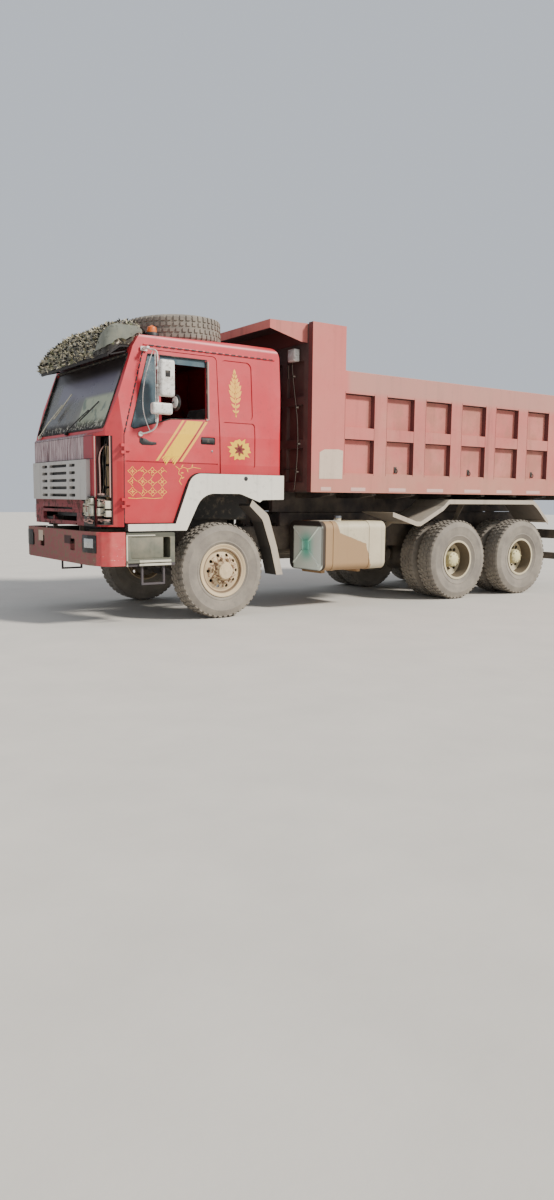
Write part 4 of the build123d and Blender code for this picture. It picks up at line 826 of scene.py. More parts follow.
band = [slanted(0.470, 0.266, BAND_LOW)]
for index in range(8):
    base = 0.765 - TIP_PITCH * index
    reach = 0.028 + 0.022 * ((index * 5) % 4)
    foot = [(base, BAND_LOW + 0.004), (base - TIP_PITCH, BAND_LOW + 0.004)]
    tip = (base + 0.008 + reach * 0.5, BAND_LOW - reach)
    band.append([*foot, tip, (base + 0.010 + reach * 0.42, BAND_LOW - reach * 0.6)])
settle(film(band), "door_stripe_band_left", marks_yellow, "door_left", 0)
lines = [slanted(0.530, 0.498, LINE_LOW), slanted(0.238, 0.204, LINE_LOW)]
settle(film(lines), "door_stripe_lines_left", marks_thin, "door_left", 0)
edge_line = film([slanted(0.256, 0.247, LINE_LOW)], 0.0014)
settle(edge_line, "door_stripe_edges_left", marks_dark, "door_left", 0)

# Thin worn trellis below the crease: bowed diamonds with a small four-petalled flower in each
trellis = []
for row, z in enumerate((1.668, 1.560, 1.452)):
    for column, x in enumerate((1.138, 1.020, 0.902, 0.784)):
        tips = [(x + 0.056, z), (x, z + 0.050), (x - 0.056, z), (x, z - 0.050)]
        for index in range(4):
            if (index * 5 + row * 3 + column * 7) % 9 == 4:
                continue
            (xa, za), (xb, zb) = tips[index], tips[(index + 1) % 4]
            bowed = (xa * 0.42 + xb * 0.42 + x * 0.16, za * 0.42 + zb * 0.42 + z * 0.16)
            trellis += ribbon([(xa, za), bowed, (xb, zb)], 0.0068)
            trellis.append(leaf(x, z, 0.027, index * math.pi / 2 + 0.3 * column, 0.42))
trellis += ribbon([(1.190, 1.384), (1.100, 1.378), (1.000, 1.386), (0.880, 1.379), (0.780, 1.388)], 0.008)
vine = [(0.62, 1.735), (0.57, 1.70), (0.585, 1.655), (0.54, 1.63), (0.575, 1.575), (0.545, 1.53)]
trellis += ribbon(vine, 0.008)
trellis += ribbon([(0.585, 1.70), (0.52, 1.725), (0.46, 1.708), (0.40, 1.728), (0.30, 1.715)], 0.007)
leaves = ((0.55, 1.72, 2.2), (0.48, 1.71, -2.0), (0.42, 1.722, 2.0), (0.56, 1.66, 3.0), (0.55, 1.60, 2.7))
trellis += [leaf(x, z, 0.045, turn, 0.28) for x, z, turn in leaves]
settle(film(trellis), "door_scroll_marks_left", marks_thin, "door_left", 0)

# Tall plant ornament on the upper side panel and a rosette below it
PANEL_SUNK = 0.010
PLANT_X = -0.180
ROSE = (-0.220, 1.945)
plant = ribbon([(PLANT_X, 2.33), (-0.178, 2.50), (-0.183, 2.66), (-0.176, 2.82)], 0.016)
for index, size in enumerate((0.055, 0.075, 0.10, 0.125, 0.13, 0.105, 0.08, 0.06)):
    for way in (1, -1):
        turn = math.pi / 2 - way * (0.95 - 0.06 * index)
        plant.append(leaf(PLANT_X, 2.36 + 0.055 * index, size, turn, 0.42))
plant.append(leaf(-0.178, 2.78, 0.075, math.pi / 2, 0.5))
plant.append(leaf(PLANT_X, 2.36, 0.055, -math.pi / 2, 0.4))
settle(film(plant, sunk=PANEL_SUNK), "side_plant_ornament_left", marks_thin, "cab", 0)
outer = []
for index in range(28):
    angle = math.tau * index / 28
    reach = (0.150 if index % 2 else 0.118) * (0.92 + 0.10 * math.sin(index * 2.3))
    outer.append((ROSE[0] + 1.16 * reach * math.cos(angle), ROSE[1] + 0.92 * reach * math.sin(angle)))
settle(film([outer], sunk=PANEL_SUNK), "side_rosette_left", marks_yellow, "cab", 0)
petals = [leaf(*ROSE, 0.078, math.tau * index / 7 + 0.3, 0.42) for index in range(7)]
settle(film(petals, 0.0022, PANEL_SUNK), "side_rosette_petals_left", marks_dark, "cab", 0)

# Doors: handle, lock, slot and the seals; on the roof's edge a channel with its row of dark slots
DOOR_SLOT = [
    (1.050, 2.024), (0.985, 2.018), (0.930, 1.990), (0.850, 1.982),
    (0.850, 1.958), (0.900, 1.950), (1.020, 1.948), (1.054, 1.975),
]
GUTTER = [(0.972, 3.004), (-0.735, 2.998), (-0.735, 3.012), (0.966, 3.018)]
WINDOW = [
    (0.190, 2.915), (0.207, 2.262), (0.672, 2.240), (0.790, 2.205),
    (1.113, 2.116), (1.146, 2.135), (0.918, 2.915), (0.190, 2.915),
]


def on_skin(rows, lift, side):
    """Points on the cab's side from rows of x and z, lifted off it."""
    return [at(x, side * (side_y(z) + lift), z) for x, z in rows]


for name, side in SIDES:
    body = "door_" + name
    grip = block(0.122, 0.291, 1.1500, 1.1605, 2.003, 2.047, 0.006, 3, side)
    settle(grip, "door_handle_grip_" + name, black_plastic, body)
    pocket = block(0.116, 0.296, 1.1395, 1.1425, 1.986, 2.064, 0.0012, 2, side)
    settle(pocket, "door_handle_pocket_" + name, black_plastic, body)
    vent = plate(flat(DOOR_SLOT, 1.1485, side), (0, side * 0.005, 0), 0.002)
    settle(vent, "door_front_slot_" + name, black_plastic, body)
    lock = barrel(at(0.153, side * 1.1505, 1.912), 0.012, 0.006, "Y", 20)
    settle(lock, "door_lock_" + name, steel, body)
    seal = [tube(flat([(1.2355, 1.11), (1.2290, 2.06)], 1.1465, side), 0.0055)]
    for index in range(13):
        low = SHOULDER_Z - 0.010 + index * 0.068
        ends = [(1.2305 - (z - 2.05) * 0.286, z) for z in (low, low + 0.042)]
        seal.append(tube(on_skin(ends, -0.001, side), 0.0085))
    settle(seal, "door_front_seal_" + name, black_plastic)

    lip = plate(flat(GUTTER, side_y(3.0) - 0.003, side), (0, side * 0.012, 0), 0.003)
    settle(lip, "roof_gutter_" + name, cab_red)
    y = side_y(3.0)
    fronts = [0.90 - index * 0.086 for index in range(19)]
    slots = blocks([(x - 0.056, x, y + 0.0070, y + 0.0108, 3.000, 3.013, 0.0010, 1) for x in fronts], side)
    settle(slots, "roof_gutter_slots_" + name, black_plastic, "cab", 0)

    settle(tube(on_skin(WINDOW, -0.004, side), 0.008), "window_seal_" + name, rubber, body)
    bar = tube(on_skin([(0.796, 2.21), (0.796, 2.91)], -0.016, side), 0.010)
    settle(bar, "window_divider_" + name, rubber, body)
    trim = tube(on_skin([(0.176, 2.900), (0.193, 2.262), (0.225, 2.250)], 0.001, side), 0.011)
    settle(trim, "window_pale_trim_" + name, edge_pink, body)


# Windscreen: seal, wipers and the cloth that lies along its foot
def screen(y, z, out=0.0):
    """Point on the sloping front of the cab, lifted off it by out."""
    slope = math.atan(SCREEN_LEAN)
    x = 1.412 - (z - SHOULDER_Z) * SCREEN_LEAN
    return at(x + out * math.cos(slope), y, z + out * math.sin(slope))


corners = ((-1.010, 2.125), (1.010, 2.125), (1.030, 2.905), (-1.030, 2.905))
path = []
for index, (y, z) in enumerate(corners):
    before, after = corners[index - 1], corners[(index + 1) % 4]
    for (ya, za), reach in ((before, 0.07), (before, 0.02), (after, 0.02), (after, 0.07)):
        run = math.hypot(ya - y, za - z)
        path.append(screen(y + (ya - y) * reach / run, z + (za - z) * reach / run, -0.002))
settle(tube(path + path[:1], 0.014), "windscreen_seal", rubber)

# Wipers: their foot, and where the arm meets the blade
for index, (y, z, arm_y, arm_z) in enumerate(((-0.86, 2.100, -0.40, 2.46), (0.02, 2.100, 0.50, 2.33))):
    hub = barrel(screen(y, z, 0.020), 0.020, 0.040, "X", 18, 0.004)
    elbow = screen(y * 0.6 + arm_y * 0.4, z * 0.6 + arm_z * 0.4, 0.040)
    arm = tube([screen(y, z, 0.032), elbow, screen(arm_y, arm_z, 0.030)], 0.0065)
    run = Vector((arm_y - y, arm_z - z)).normalized()
    blade = tube([screen(arm_y + run.x * way, arm_z + run.y * way, 0.014) for way in (-0.24, 0.20)], 0.0075)
    link = tube([screen(arm_y, arm_z, 0.030), screen(arm_y, arm_z, 0.014)], 0.006)
    settle([hub, arm, blade, link], "wiper_" + str(index + 1), black_plastic if index else lamp_cream)


def lumpy(obj, size, height):
    """Presses a cloud of lumps into a piece along its normals."""
    texture = bpy.data.textures.new("lumps", "CLOUDS")
    texture.noise_scale = size
    texture.noise_depth = 2
    lumps = obj.modifiers.new("lumps", "DISPLACE")
    lumps.texture = texture
    lumps.texture_coords = "LOCAL"
    lumps.strength = height
    return obj


def cloth_roll(rows, radius, cuts, lumps, name, finish, stands_for=None):
    """Roll of cloth along points, lumpy all over."""
    roll = tube(places(rows), radius, True, 5)
    divide(roll, cuts)
    settle(lumpy(roll, *lumps), name, finish, "cab", 60, stands_for)


foot = [(1.330, -0.93, 2.085), (1.335, -0.3, 2.098), (1.330, 0.35, 2.080), (1.325, 0.93, 2.092)]
cloth_roll(foot, 0.038, 3, (0.05, 0.035), "dash_cloth_roll", heap_cloth)

# Cover on the visor: a heap of patterned cloth, a smooth end cloth and the leafy strips on it
heap = twin_of(nodes["visor_cover"])
for key in list(heap.keys()):
    del heap[key]
edit(heap)
bpy.ops.mesh.remove_doubles(threshold=0.0003)
close_edit()
remesh = heap.modifiers.new("even", "REMESH")
remesh.mode = "VOXEL"
remesh.voxel_size = 0.026
bpy.ops.object.modifier_apply(modifier="even")
lumpy(heap, 0.11, 0.060)
bpy.ops.object.modifier_apply(modifier="lumps")

end_cloth = twin_of(heap)
edit(end_cloth)
bpy.ops.mesh.bisect(plane_co=at(1.1, 0.77, 3.0), plane_no=(0, 1, -1), clear_inner=True, use_fill=False)
close_edit()
edit(end_cloth, lambda place, normal: normal.z < -0.25)
bpy.ops.mesh.delete(type="FACE")
close_edit()
edit(end_cloth)
bpy.ops.mesh.vertices_smooth(factor=0.8, repeat=12)
bpy.ops.transform.shrink_fatten(value=0.034)
close_edit()
lumpy(end_cloth, 0.09, 0.022)
end_cloth.modifiers.new("cloth", "SOLIDIFY").thickness = 0.004
settle(end_cloth, "visor_cover_end_cloth", tarp, "cab", 60)
heap = settle(heap, "visor_cover_heap", heap_cloth, "cab", 60, "visor_cover")

# Short pointed strip of cloth with a fold along it, standing up from its foot
STRIP = [
    (-0.006, 0, 0), (-0.013, 0, 0.022), (-0.009, 0.006, 0.048), (0, 0.014, 0.072),
    (0.009, 0.006, 0.048), (0.013, 0, 0.022), (0.006, 0, 0),
]
strip = trace([Vector(point) for point in STRIP])
close_edit()


def scatter(name, finish, pattern, spots):
    """Copies a small pattern to many spots as one piece."""
    whole = bmesh.new()
    for matrix in spots:
        mesh = pattern.data.copy()
        mesh.transform(matrix)
        whole.from_mesh(mesh)
        bpy.data.meshes.remove(mesh)
    mesh = bpy.data.meshes.new(name)
    whole.to_mesh(mesh)
    whole.free()
    obj = bpy.data.objects.new(name, mesh)
    bpy.context.collection.objects.link(obj)
    settle(obj, name, finish, "cab", 0, "visor_cover")


random.seed(7)
faces = heap.data.polygons
roots = [(f.center.copy(), f.normal.copy()) for f in faces if f.normal.z > -0.15 or f.normal.x > 0.5]
LEAVES = (("dark", leaf_dark, 1150), ("green", leaf_green, 420), ("pale", leaf_pale, 1050))
for name, finish, count in LEAVES:
    spots = []
    while len(spots) < count:
        place, normal = random.choice(roots)
        if place.y > place.z - 2.20 and random.random() < 0.98:
            continue
        stray = Vector((random.uniform(-1, 1), random.uniform(-1, 1), random.uniform(-0.9, 0.9)))
        stand = (normal + stray).normalized().to_track_quat("Z", "Y").to_matrix().to_4x4()
        size = random.uniform(0.38, 0.72)
        turned = stand @ Matrix.Rotation(random.uniform(0, math.tau), 4, "Z") @ Matrix.Scale(size, 4)
        spots.append(Matrix.Translation(place - normal * 0.006) @ turned)
    scatter("visor_leaves_" + name, finish, strip, spots)
bpy.data.objects.remove(strip)

# Dark bundle between the visor cover and the spare tyre
bundle = [(0.93, 0.28, 3.160), (0.96, 0.50, 3.178), (0.92, 0.72, 3.172), (0.90, 0.92, 3.158)]
cloth_roll(bundle, 0.046, 2, (0.06, 0.040), "roof_bundle", leaf_dark, "visor_cover")

# Visor: dark lip under its front and the stays that hold it
LIP = [(1.300, 2.925), (1.338, 2.895), (1.338, 2.862), (1.326, 2.862), (1.322, 2.888), (1.292, 2.913)]
settle(plate(flat(LIP, -1.0), (0, 2.0, 0), 0.003), "visor_front_lip", visor_black)
stays = [tube([screen(y, 2.935, 0.004), at(1.300, y, 2.885)], 0.009) for y in (-0.98, -0.33, 0.33, 0.98)]
settle(stays, "visor_stays", visor_black)

# Front corner: edges of its post, plate and padding behind, and the loose wires
posts = (1.47, 1.483, 0.941, 0.947, 1.385, 2.03, 0.001), (1.362, 1.375, 1.089, 1.095, 1.385, 2.03, 0.001)
settle(blocks(posts), "corner_post_edges", edge_pink)
settle(block(1.316, 1.322, 0.935, 1.030, 1.10, 2.030, 0.002), "corner_back_plate", black_plastic)
pads = ((0.955, 1.000, 1.50, 1.72), (0.965, 1.010, 1.74, 1.93), (0.960, 1.005, 1.36, 1.48))
padding = join(blocks([(1.322, 1.372, *pad, 0.016, 3) for pad in pads]))
divide(padding, 4)
settle(lumpy(padding, 0.03, 0.020), "corner_padding", tan_foam, "cab", 60)
WIRES = (
    (0.005, rubber, ((1.36, 0.975, 2.02), (1.415, 0.985, 1.8), (1.385, 1.0, 1.55), (1.42, 0.975, 1.36))),
    (0.006, rubber, ((1.35, 1.005, 2.02), (1.395, 1.015, 1.75), (1.36, 1.0, 1.5), (1.4, 1.0, 1.37))),
    (0.007, edge_pink, ((1.345, 0.965, 1.95), (1.44, 0.965, 1.9), (1.43, 0.972, 1.62), (1.425, 0.96, 1.34))),
)
for index, (radius, finish, rows) in enumerate(WIRES):
    settle(tube(places(rows), radius, True), "corner_wire_" + str(index + 1), finish)


# Bare headlamp: dished cells side by side with dark joints, brackets above and hoses below
def faces_ahead(place, normal):
    return normal.x > 0.95


def faces_back(place, normal):
    return normal.x < -0.97


def hollow(obj, test, rounds):
    """Insets the face that passes the test and presses it in, by rounds of rim and depth."""
    edit(obj, test)
    for rim, depth in rounds:
        bpy.ops.mesh.inset(thickness=rim, use_even_offset=True)
        bpy.ops.mesh.extrude_region_move(TRANSFORM_OT_translate={"value": (depth, 0, 0)})
    close_edit()
    return obj


# Cells: ranges of x, y and z
CELLS = (
    (1.483, 1.508, 0.676, 0.738, 1.195, 1.318),
    (1.483, 1.516, 0.752, 0.832, 1.185, 1.282),
    (1.483, 1.510, 0.752, 0.832, 1.292, 1.372),
    (1.483, 1.512, 0.850, 0.930, 1.190, 1.300),
    (1.483, 1.518, 0.850, 0.930, 1.312, 1.378),
    (1.395, 1.468, 0.953, 1.004, 1.190, 1.272),
    (1.390, 1.460, 0.953, 0.998, 1.290, 1.372),
    (1.330, 1.410, 1.014, 1.070, 1.180, 1.246),
    (1.330, 1.414, 1.012, 1.064, 1.266, 1.350),
)
DISHED = ((0.008, -0.010), (0.012, -0.006))
cells = [hollow(cell, faces_ahead, DISHED) for cell in blocks(CELLS)]
settle(cells, "lamp_cells", lamp_cream)
tray = (
    (1.4825, 1.4880, 0.650, 0.942, 1.076, 1.400, 0.002),
    (1.318, 1.330, 0.946, 1.085, 1.098, 1.420, 0.002),
    (1.347, 1.475, 0.946, 1.075, 1.097, 1.103, 0.002),
    (1.330, 1.462, 0.950, 1.060, 1.393, 1.406, 0.003),
    (1.484, 1.516, 0.672, 0.936, 1.386, 1.397, 0.003),
    (1.345, 1.430, 0.950, 1.060, 1.100, 1.135, 0.008),
)
settle(blocks(tray), "lamp_tray", black_plastic)
brackets = blocks(
    (
        (1.335, 1.455, 0.955, 1.000, 1.408, 1.428, 0.004),
        (1.500, 1.510, 0.800, 0.925, 1.105, 1.120, 0.003),
        (1.350, 1.425, 1.000, 1.060, 1.140, 1.152, 0.003),
    )
)
front_hose = [(1.505, 0.70, 1.14), (1.512, 0.76, 1.115), (1.510, 0.85, 1.150), (1.500, 0.93, 1.135)]
corner_hose = [(1.440, 0.960, 1.150), (1.430, 1.000, 1.120), (1.400, 1.040, 1.145), (1.380, 1.060, 1.130)]
brackets += [tube(places(front_hose), 0.009, True), tube(places(corner_hose), 0.008, True)]
settle(brackets, "lamp_brackets", edge_pink)
BOWL = [(0.004, -0.010), (0.018, -0.006), (0.025, 0.000), (0.029, 0.000), (0.020, -0.010), (0.004, -0.014)]
for index, spot in enumerate(places([(1.508, 0.792, 1.234), (1.504, 0.890, 1.245), (1.460, 0.979, 1.231)])):
    settle(lathe(BOWL, spot, "X", 28), "lamp_reflector_" + str(index + 1), lamp_clear, "cab", 50)
random.seed(21)
for name, finish in (("lamp_loose_ends_dark", black_plastic), ("lamp_loose_ends_pale", edge_pink)):
    bits = []
    for index in range(9):
        y, z = random.uniform(0.675, 0.905), random.uniform(1.10, 1.365)
        wide, tall = random.choice(((0.030, 0.008), (0.008, 0.034), (0.016, 0.016)))
        bits.append(block(1.486, 1.527 - random.uniform(0, 0.006), y, y + wide, z, z + tall, 0.002))
    for index in range(6):
        y, z = random.uniform(0.950, 1.040), random.uniform(1.12, 1.38)
        front = 1.470 - (y - 0.950) * 0.55
        wide, tall = random.uniform(0.008, 0.028), random.uniform(0.006, 0.022)
        bits.append(block(front - 0.08, front, y, y + wide, z, z + tall, 0.002))
    settle(bits, name, finish)

# Front: strips below the grille, far lamp, radiator, dark back of the grille and joints of the panels
strips = (
    (1.466, 1.4830, -0.645, 0.645, 1.272, 1.318, 0.003),
    (1.466, 1.4830, -0.645, 0.645, 1.214, 1.250, 0.003),
    (1.466, 1.4825, 0.300, 0.645, 1.250, 1.272, 0.002),
    (1.466, 1.4830, 0.440, 0.645, 1.112, 1.214, 0.003),
)
settle(blocks(strips), "lower_front_strips", cab_red)
settle(block(1.432, 1.462, -0.985, -0.905, 1.128, 1.292, 0.008), "right_lamp_lens", lamp_clear)
fins = [(1.312, 1.322, -0.56, 0.56, 1.165, 1.330, 0.002, 2)]
for index in range(56):
    y = -0.55 + index * 0.02
    fins.append((1.320, 1.334, y - 0.002, y + 0.002, 1.170, 1.325, 0.0006, 1))
settle(blocks(fins), "radiator_fins", steel, "cab", 0)
settle(block(1.486, 1.492, -0.79, 0.79, 1.400, 1.755, 0.002), "grille_dark_back", black_plastic)
seams = (
    (1.4815, 1.4835, 0.417, 0.423, 1.80, 2.035, 0.0006, 1),
    (1.4815, 1.4835, -0.423, -0.417, 1.80, 2.035, 0.0006, 1),
    (1.4815, 1.4840, -0.88, 0.93, 1.795, 1.801, 0.0008, 1),
    (1.4815, 1.4830, -0.88, 0.93, 2.038, 2.043, 0.0006, 1),
)
settle(blocks(seams), "front_panel_seams", black_plastic, "cab", 0)

# Bumper: lamps that wrap round the corner and a pale patch in the far recess
LAMP_TURN = 0.930
BUMPER_X = 1.560
CORNER_SLOPE = 52 / 200


def wrapped(y0, y1, z0, z1, out, thick, side):
    """Plate that lies on the bumper's front and turns with it at the corner."""
    x = BUMPER_X + out
    front = [(x, y0), (x, LAMP_TURN), (x - (y1 - LAMP_TURN) * CORNER_SLOPE, y1)]
    back = [(x - thick, y) for x, y in reversed(front)]
    return plate(places([(x, y, z0) for x, y in front + back], side), (0, 0, z1 - z0), 0.002)


for name, side in SIDES:
    surround = wrapped(0.785, 1.070, 0.796, 0.984, 0.008, 0.010, side)
    settle(surround, "bumper_lamp_surround_" + name, black_plastic, "chassis")
settle(wrapped(0.845, 1.025, 0.850, 0.948, 0.013, 0.008, 1), "bumper_lamp_lens_left", lamp_clear, "chassis")
pale = block(1.5595, 1.5625, -0.600, -0.450, 0.862, 0.988, 0.001)
settle(pale, "bumper_pale_patch", patch_cream, "chassis", 0)

# Entry steps: studs on the tread, the box's face and its pale edges
for name, side in SIDES:
    studs = []
    for row in range(9):
        for line in range(4):
            place = at(0.78 + 0.05 * row, side * (1.10 + 0.03 * (line + 0.5 * (row % 2))), 0.7145)
            studs.append(barrel(place, 0.008, 0.006, "Z", 8, 0.001))
    settle(studs, "step_tread_studs_" + name, steel, "chassis")
    panel = block(0.800, 1.188, 1.190, 1.197, 0.737, 0.963, 0.003, side=side)
    settle(panel, "step_face_panel_" + name, step_grey, "chassis")
    edges = (
        (0.718, 1.100, 1.212, 1.229, 0.692, 0.716, 0.004),
        (0.718, 1.100, 1.212, 1.229, 0.656, 0.680, 0.004),
        (0.900, 1.242, 1.1985, 1.206, 0.978, 0.990, 0.002),
        (1.226, 1.242, 1.1985, 1.206, 0.652, 0.978, 0.002),
    )
    settle(blocks(edges, side), "step_pale_edges_" + name, lamp_cream, "chassis")

# Mirrors: two housings and a round one on a bent tube, in place of the plain ones
STEM = [
    (0.985, 1.118, 2.962), (0.945, 1.215, 2.945), (0.918, 1.300, 2.925), (0.914, 1.318, 2.860),
    (0.914, 1.320, 2.520), (0.914, 1.318, 2.200), (0.930, 1.285, 2.115), (0.975, 1.215, 2.076),
    (1.040, 1.158, 2.062),
]
BRACE = [
    (0.930, 1.245, 2.935), (0.985, 1.205, 2.740), (1.030, 1.185, 2.480),
    (1.020, 1.190, 2.240), (0.962, 1.232, 2.086),
]
ROD = [(0.936, 1.300, 2.900), (0.938, 1.318, 2.520), (0.936, 1.310, 2.180)]
DISH = [(0.0, 0.030), (0.045, 0.026), (0.078, 0.010), (0.088, -0.006), (0.084, -0.012), (0.0, -0.012)]
CAP = [(0.0, 0.034), (0.040, 0.031), (0.062, 0.023), (0.062, 0.018), (0.0, 0.018)]
SHELLS = (
    (0.738, 0.908, 1.297, 1.382, 2.450, 2.830, 0.026, 5),
    (0.766, 1.000, 1.297, 1.382, 2.263, 2.382, 0.024, 5),
)
FEET = (0.93, 1.01, 1.098, 1.118, 2.935, 2.985, 0.008), (0.96, 0.992, 1.116, 1.226, 2.946, 2.972, 0.006)
PANES = (
    (0.7385, 0.7440, 1.319, 1.360, 2.482, 2.798, 0.002),
    (0.7665, 0.7720, 1.319, 1.360, 2.290, 2.355, 0.002),
)
for name, side in SIDES:
    body = "door_" + name
    node = "mirror_" + name
    shells = [hollow(shell, faces_back, ((0.004, 0.006),)) for shell in blocks(SHELLS, side)]
    settle(shells, "mirror_housings_" + name, white_plastic, body, 35, node)
    settle(blocks(PANES, side), "mirror_panes_" + name, mirror_glass, body)
    grip = block(0.800, 0.858, 1.3810, 1.3840, 2.650, 2.716, 0.001, side=side)
    settle(grip, "mirror_side_grip_" + name, rubber, body)
    arms = [tube(places(STEM, side), 0.0088, True, 3), tube(places(BRACE, side), 0.0048, True)]
    arms += [tube(places(ROD, side), 0.0045), *blocks(FEET, side)]
    arms.append(barrel(at(1.042, side * 1.160, 2.062), 0.026, 0.018, "Y", 20, 0.003))
    arms += blocks([(0.895, 0.932, 1.296, 1.34, z - 0.014, z + 0.014) for z in (2.56, 2.74, 2.325)], side)
    settle(arms, "mirror_arm_" + name, white_plastic, body, 35, node)
    dish = lathe(DISH, at(0.690, side * 1.300, 2.400), "X", 36)
    arm = tube(places([(0.700, 1.300, 2.400), (0.740, 1.320, 2.400), (0.775, 1.335, 2.355)], side), 0.008)
    settle([dish, arm], "round_mirror_" + name, black_plastic, body)
    cap = lathe(CAP, at(0.690, side * 1.312, 2.402), "X", 30)
    settle(cap, "round_mirror_cap_" + name, white_plastic, body)
    pane = barrel(at(0.6755, side * 1.300, 2.400), 0.078, 0.005, "X", 36, 0.001)
    settle(pane, "round_mirror_pane_" + name, mirror_glass, body)

# Beacon collar and the hole in the wheel arch
COLLAR = [
    (0.050, 3.118), (0.074, 3.118), (0.074, 3.150), (0.066, 3.164),
    (0.058, 3.164), (0.058, 3.150), (0.050, 3.150),
]
settle(lathe(COLLAR, at(0.800, 0.960, 0), "Z", 36), "beacon_collar", black_plastic)
for name, side in SIDES:
    plug = barrel(at(-0.271, side * 1.2005, 1.615), 0.026, 0.004, "Y", 28, 0.001)
    settle(plug, "arch_filler_hole_" + name, black_plastic)

# Load body: filler patch, marker strips, tarp hooks, rope bars and weld beads
PATCH = [(-1.30, 1.635), (-1.665, 1.640), (-1.672, 1.985), (-1.60, 2.000), (-1.38, 1.992), (-1.305, 1.955)]
settle(plate(flat(PATCH, RIB_FACE), (0, 0.003, 0), 0.001), "post_pale_patch", patch_cream, "bed", 0)
# Front and rear ends of the marker strips
MARKERS = (
    (-1.32, -1.50), (-1.80, -2.06), (-2.44, -2.76), (-3.13, -3.46), (-3.86, -4.21),
    (-4.53, -4.88), (-5.19, -5.52), (-5.85, -6.18), (-6.45, -6.75),
)
MARKER = (RIB_FACE, 1.2500, 1.492, 1.536, 0.0008, 1)
marker_rows = [(rear + 0.01, front - 0.01, *MARKER) for front, rear in MARKERS]
bead_places = [-1.695]
for index in range(7):
    bead_places += [-2.180 - index * 0.694, -2.390 - index * 0.694]
for name, side in SIDES:
    settle(blocks(marker_rows, side), "marker_strips_" + name, marker_pale, "bed", 0)
    hooks = []
    for x in (-2.612, -4.00, -5.368, -6.60):
        root = (BED_SKIN - 0.003, BED_SKIN + 0.009) if side > 0 else (BED_SKIN + 0.003, BED_SKIN + 0.003)
        hooks.append(block(x - 0.022, x + 0.022, *root, 1.735, 1.815, 0.002, side=side))
        bend = ((x, 0.004, 1.795), (x - 0.004, 0.036, 1.785), (x - 0.006, 0.042, 1.745), (x, 0.020, 1.728))
        hooks.append(tube(places([(x, BED_SKIN + out, z) for x, out, z in bend], side), 0.007, True))
    settle(hooks, "tarp_hooks_" + name, frame_black, "bed")
    rope_bar = tube(flat([(-1.70, 2.956), (-6.80, 2.956)], 1.206, side), 0.013, False, 3)
    settle(rope_bar, "top_rail_rope_bar_" + name, bed_skin, "bed")
    beads = [tube(flat([(x, 1.69), (x, 2.71)], RIB_FACE, side), 0.004, False, 1) for x in bead_places]
    settle(beads, "rib_weld_beads_" + name, bed_skin, "bed")

# Rubber mud screen across the frame behind the engine
settle(block(-0.606, -0.598, -0.415, 0.415, 1.000, 1.340, 0.003), "engine_mud_screen", rubber, "chassis")

# Work lamp and the clipped hose on the dark front wall
settle(block(-1.165, -1.085, 0.860, 1.010, 3.045, 3.195, 0.014, 3), "wall_lamp_body", white_plastic, "bed")
settle(block(-1.088, -1.078, 0.880, 0.990, 3.062, 3.178, 0.004), "wall_lamp_lens", lamp_clear, "bed")
HOSE = [
    (-1.160, 0.850, 3.06), (-1.150, 0.880, 2.90), (-1.152, 0.925, 2.66), (-1.150, 0.985, 2.40),
    (-1.152, 1.005, 2.10), (-1.150, 0.985, 1.76), (-1.155, 0.930, 1.50),
]
settle(tube(places(HOSE), 0.0070, True), "wall_hose", guard_grey, "bed")
grips = ((0.885, 2.88), (0.960, 2.50), (1.000, 2.06), (0.975, 1.72))
clips = blocks([(-1.180, -1.140, y - 0.020, y + 0.020, z - 0.010, z + 0.010, 0.003) for y, z in grips])
clips.append(block(-1.180, -1.160, 0.660, 0.965, 1.752, 1.764, 0.003))
clips.append(tube(places([(-1.168, 0.756, 3.026), (-1.166, 0.767, 2.863)]), 0.010))
settle(clips, "wall_hose_clips", guard_grey, "bed")

# Fuel tank: pressed cross on the front end, cap with its chain and the plate over it
TANK_Y = 0.86
TANK_Z = 0.80
ribs = []
for y, z in ((0.585, 1.045), (1.135, 1.045), (0.585, 0.555), (1.135, 0.555)):
    inner = at(-1.399, TANK_Y + (y - TANK_Y) * 0.25, TANK_Z + (z - TANK_Z) * 0.25)
    ribs.append(tube([at(-1.401, y, z), inner], 0.014, False, 3))
square = [(-1.400, y, z) for y, z in ((0.80, 0.74), (0.92, 0.74), (0.92, 0.86), (0.80, 0.86), (0.80, 0.74))]
ribs.append(tube(places(square), 0.010, False, 3))
settle(ribs, "tank_end_pressing", tank_skin, "chassis", 60)
TANK_CAP = [(0.0, 1.182), (0.040, 1.182), (0.054, 1.176), (0.056, 1.150), (0.050, 1.146), (0.0, 1.146)]
cap = lathe(TANK_CAP, at(-1.786, 1.020, 0), "Z", 28)
chain = tube(places([(-1.74, 1.05, 1.150), (-1.70, 1.08, 1.125), (-1.66, 1.06, 1.116)]), 0.005, True)
settle([cap, chain], "tank_cap", steel, "chassis")
settle(block(-1.75, -1.42, 0.92, 1.12, 1.1105, 1.120, 0.003), "tank_top_plate", guard_grey, "chassis")


# Seats: padded cushions, backs and the bunk, on their frames
def cushion(low, high, swell=0.02):
    """Rounded pad: a block with loops, softened and pressed out in the middle of each face."""
    pad = cube(low, high)
    divide(pad, 5)
    middle = (low + high) / 2
    half = (high - low) / 2
    for vertex in pad.data.vertices:
        share = [abs(vertex.co[i] - middle[i]) / half[i] for i in range(3)]
        for i in range(3):
            if share[i] > 0.99:
                crown = (1 - share[i - 1] ** 2) * (1 - share[i - 2] ** 2)
                vertex.co[i] += math.copysign(swell * crown - swell * 0.6, vertex.co[i] - middle[i])
    soft = pad.modifiers.new("soft", "SUBSURF")
    soft.levels = 2
    soft.render_levels = 2
    return pad


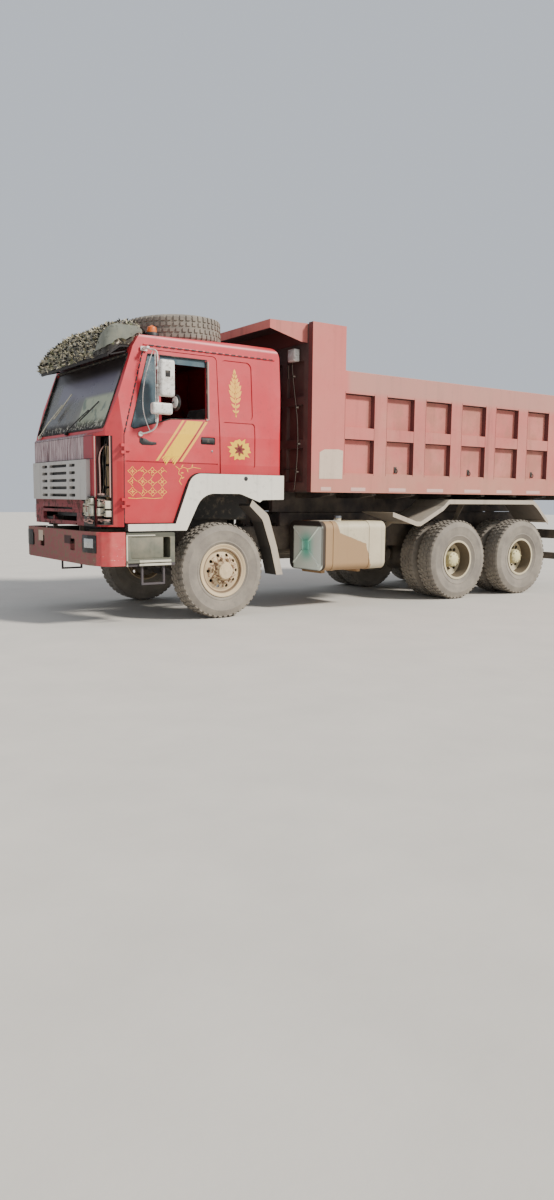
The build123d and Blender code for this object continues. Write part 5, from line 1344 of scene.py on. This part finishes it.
STAND = [(0.08, 1.476), (0.40, 1.476), (0.36, 1.606), (0.12, 1.606)]
for name, side in SIDES:
    y0, y1 = sorted((side * 0.345, side * 0.805))
    seat = cushion(at(0.03, y0, 1.605), at(0.475, y1, 1.755))
    settle(seat, "seat_cushion_" + name, seat_cloth, "cab", 60, "seats")
    back = cushion(at(0.0, y0 + 0.01, 1.73), at(0.13, y1 - 0.01, 2.42))
    edit(back)
    hinge = {"orient_axis": "Y", "orient_type": "GLOBAL", "center_override": at(0.06, 0, 1.73)}
    bpy.ops.transform.rotate(value=math.radians(9), **hinge)
    close_edit()
    settle(back, "seat_back_" + name, seat_cloth, "cab", 60, "seats")
    stand = plate(flat(STAND, side * 0.575 - 0.11), (0, 0.22, 0), 0.008)
    settle(stand, "seat_stand_" + name, black_plastic, "cab", 35, "seats")
bunk = cushion(at(-0.755, -0.99, 1.635), at(-0.265, 0.99, 1.755), 0.015)
settle(bunk, "bunk_mattress", seat_cloth, "cab", 60, "seats")
board = block(-0.745, -0.28, -0.98, 0.98, 1.592, 1.632, 0.008)
settle(board, "bunk_board", black_plastic, "cab", 35, "seats")

# Tail lamps on the rear bar and the tailgate's locks
LAMPS = ("red", lamp_red, 0.62, 0.84), ("amber", lamp_amber, 0.85, 0.96), ("clear", lamp_clear, 0.97, 1.08)
for name, side in SIDES:
    for place, finish, *width in LAMPS:
        lens = block(-6.222, -6.213, *width, 0.815, 0.925, 0.003, side=side)
        settle(lens, "tail_lamp_" + place + "_" + name, finish, "chassis")
    hooks = []
    for y in (0.45, 1.05):
        hooks.append(block(-6.985, -6.935, y - 0.03, y + 0.03, 1.452, 1.545, 0.008, side=side))
        bend = flat([(-6.966, 1.53), (-6.985, 1.50), (-6.975, 1.462)], y, side)
        hooks.append(tube(bend, 0.010, True))
    settle(hooks, "tailgate_locks_" + name, frame_black, "tailgate")

# Stage, light and background
bpy.ops.mesh.primitive_plane_add(size=120, location=(0, 0, 0))
floor = bpy.context.object
floor.name = "studio_floor"
floor_skin = Finish("pale_floor", "c9c4bb", 0.9, "frame")
floor_skin.bump(floor_skin.cloud(30, 5), 0.002, 0.3)
floor.data.materials.append(floor_skin.material)

world = bpy.context.scene.world or bpy.data.worlds.new("studio")
bpy.context.scene.world = world
world.use_nodes = True
background = world.node_tree.nodes["Background"].inputs
background["Color"].default_value = hue("dfe6f0")
background["Strength"].default_value = 0.85
bpy.ops.object.light_add(type="SUN", location=(0, 0, 10))
sun = bpy.context.object
sun.name = "soft_key"
sun.data.energy = 5.6
sun.data.angle = math.radians(9)
sun.data.color = (1.0, 0.955, 0.89)
sun.rotation_euler = Vector((0.52, -0.75, -0.72)).to_track_quat("-Z", "Y").to_euler()

for finish in Finish.made:
    finish.done()
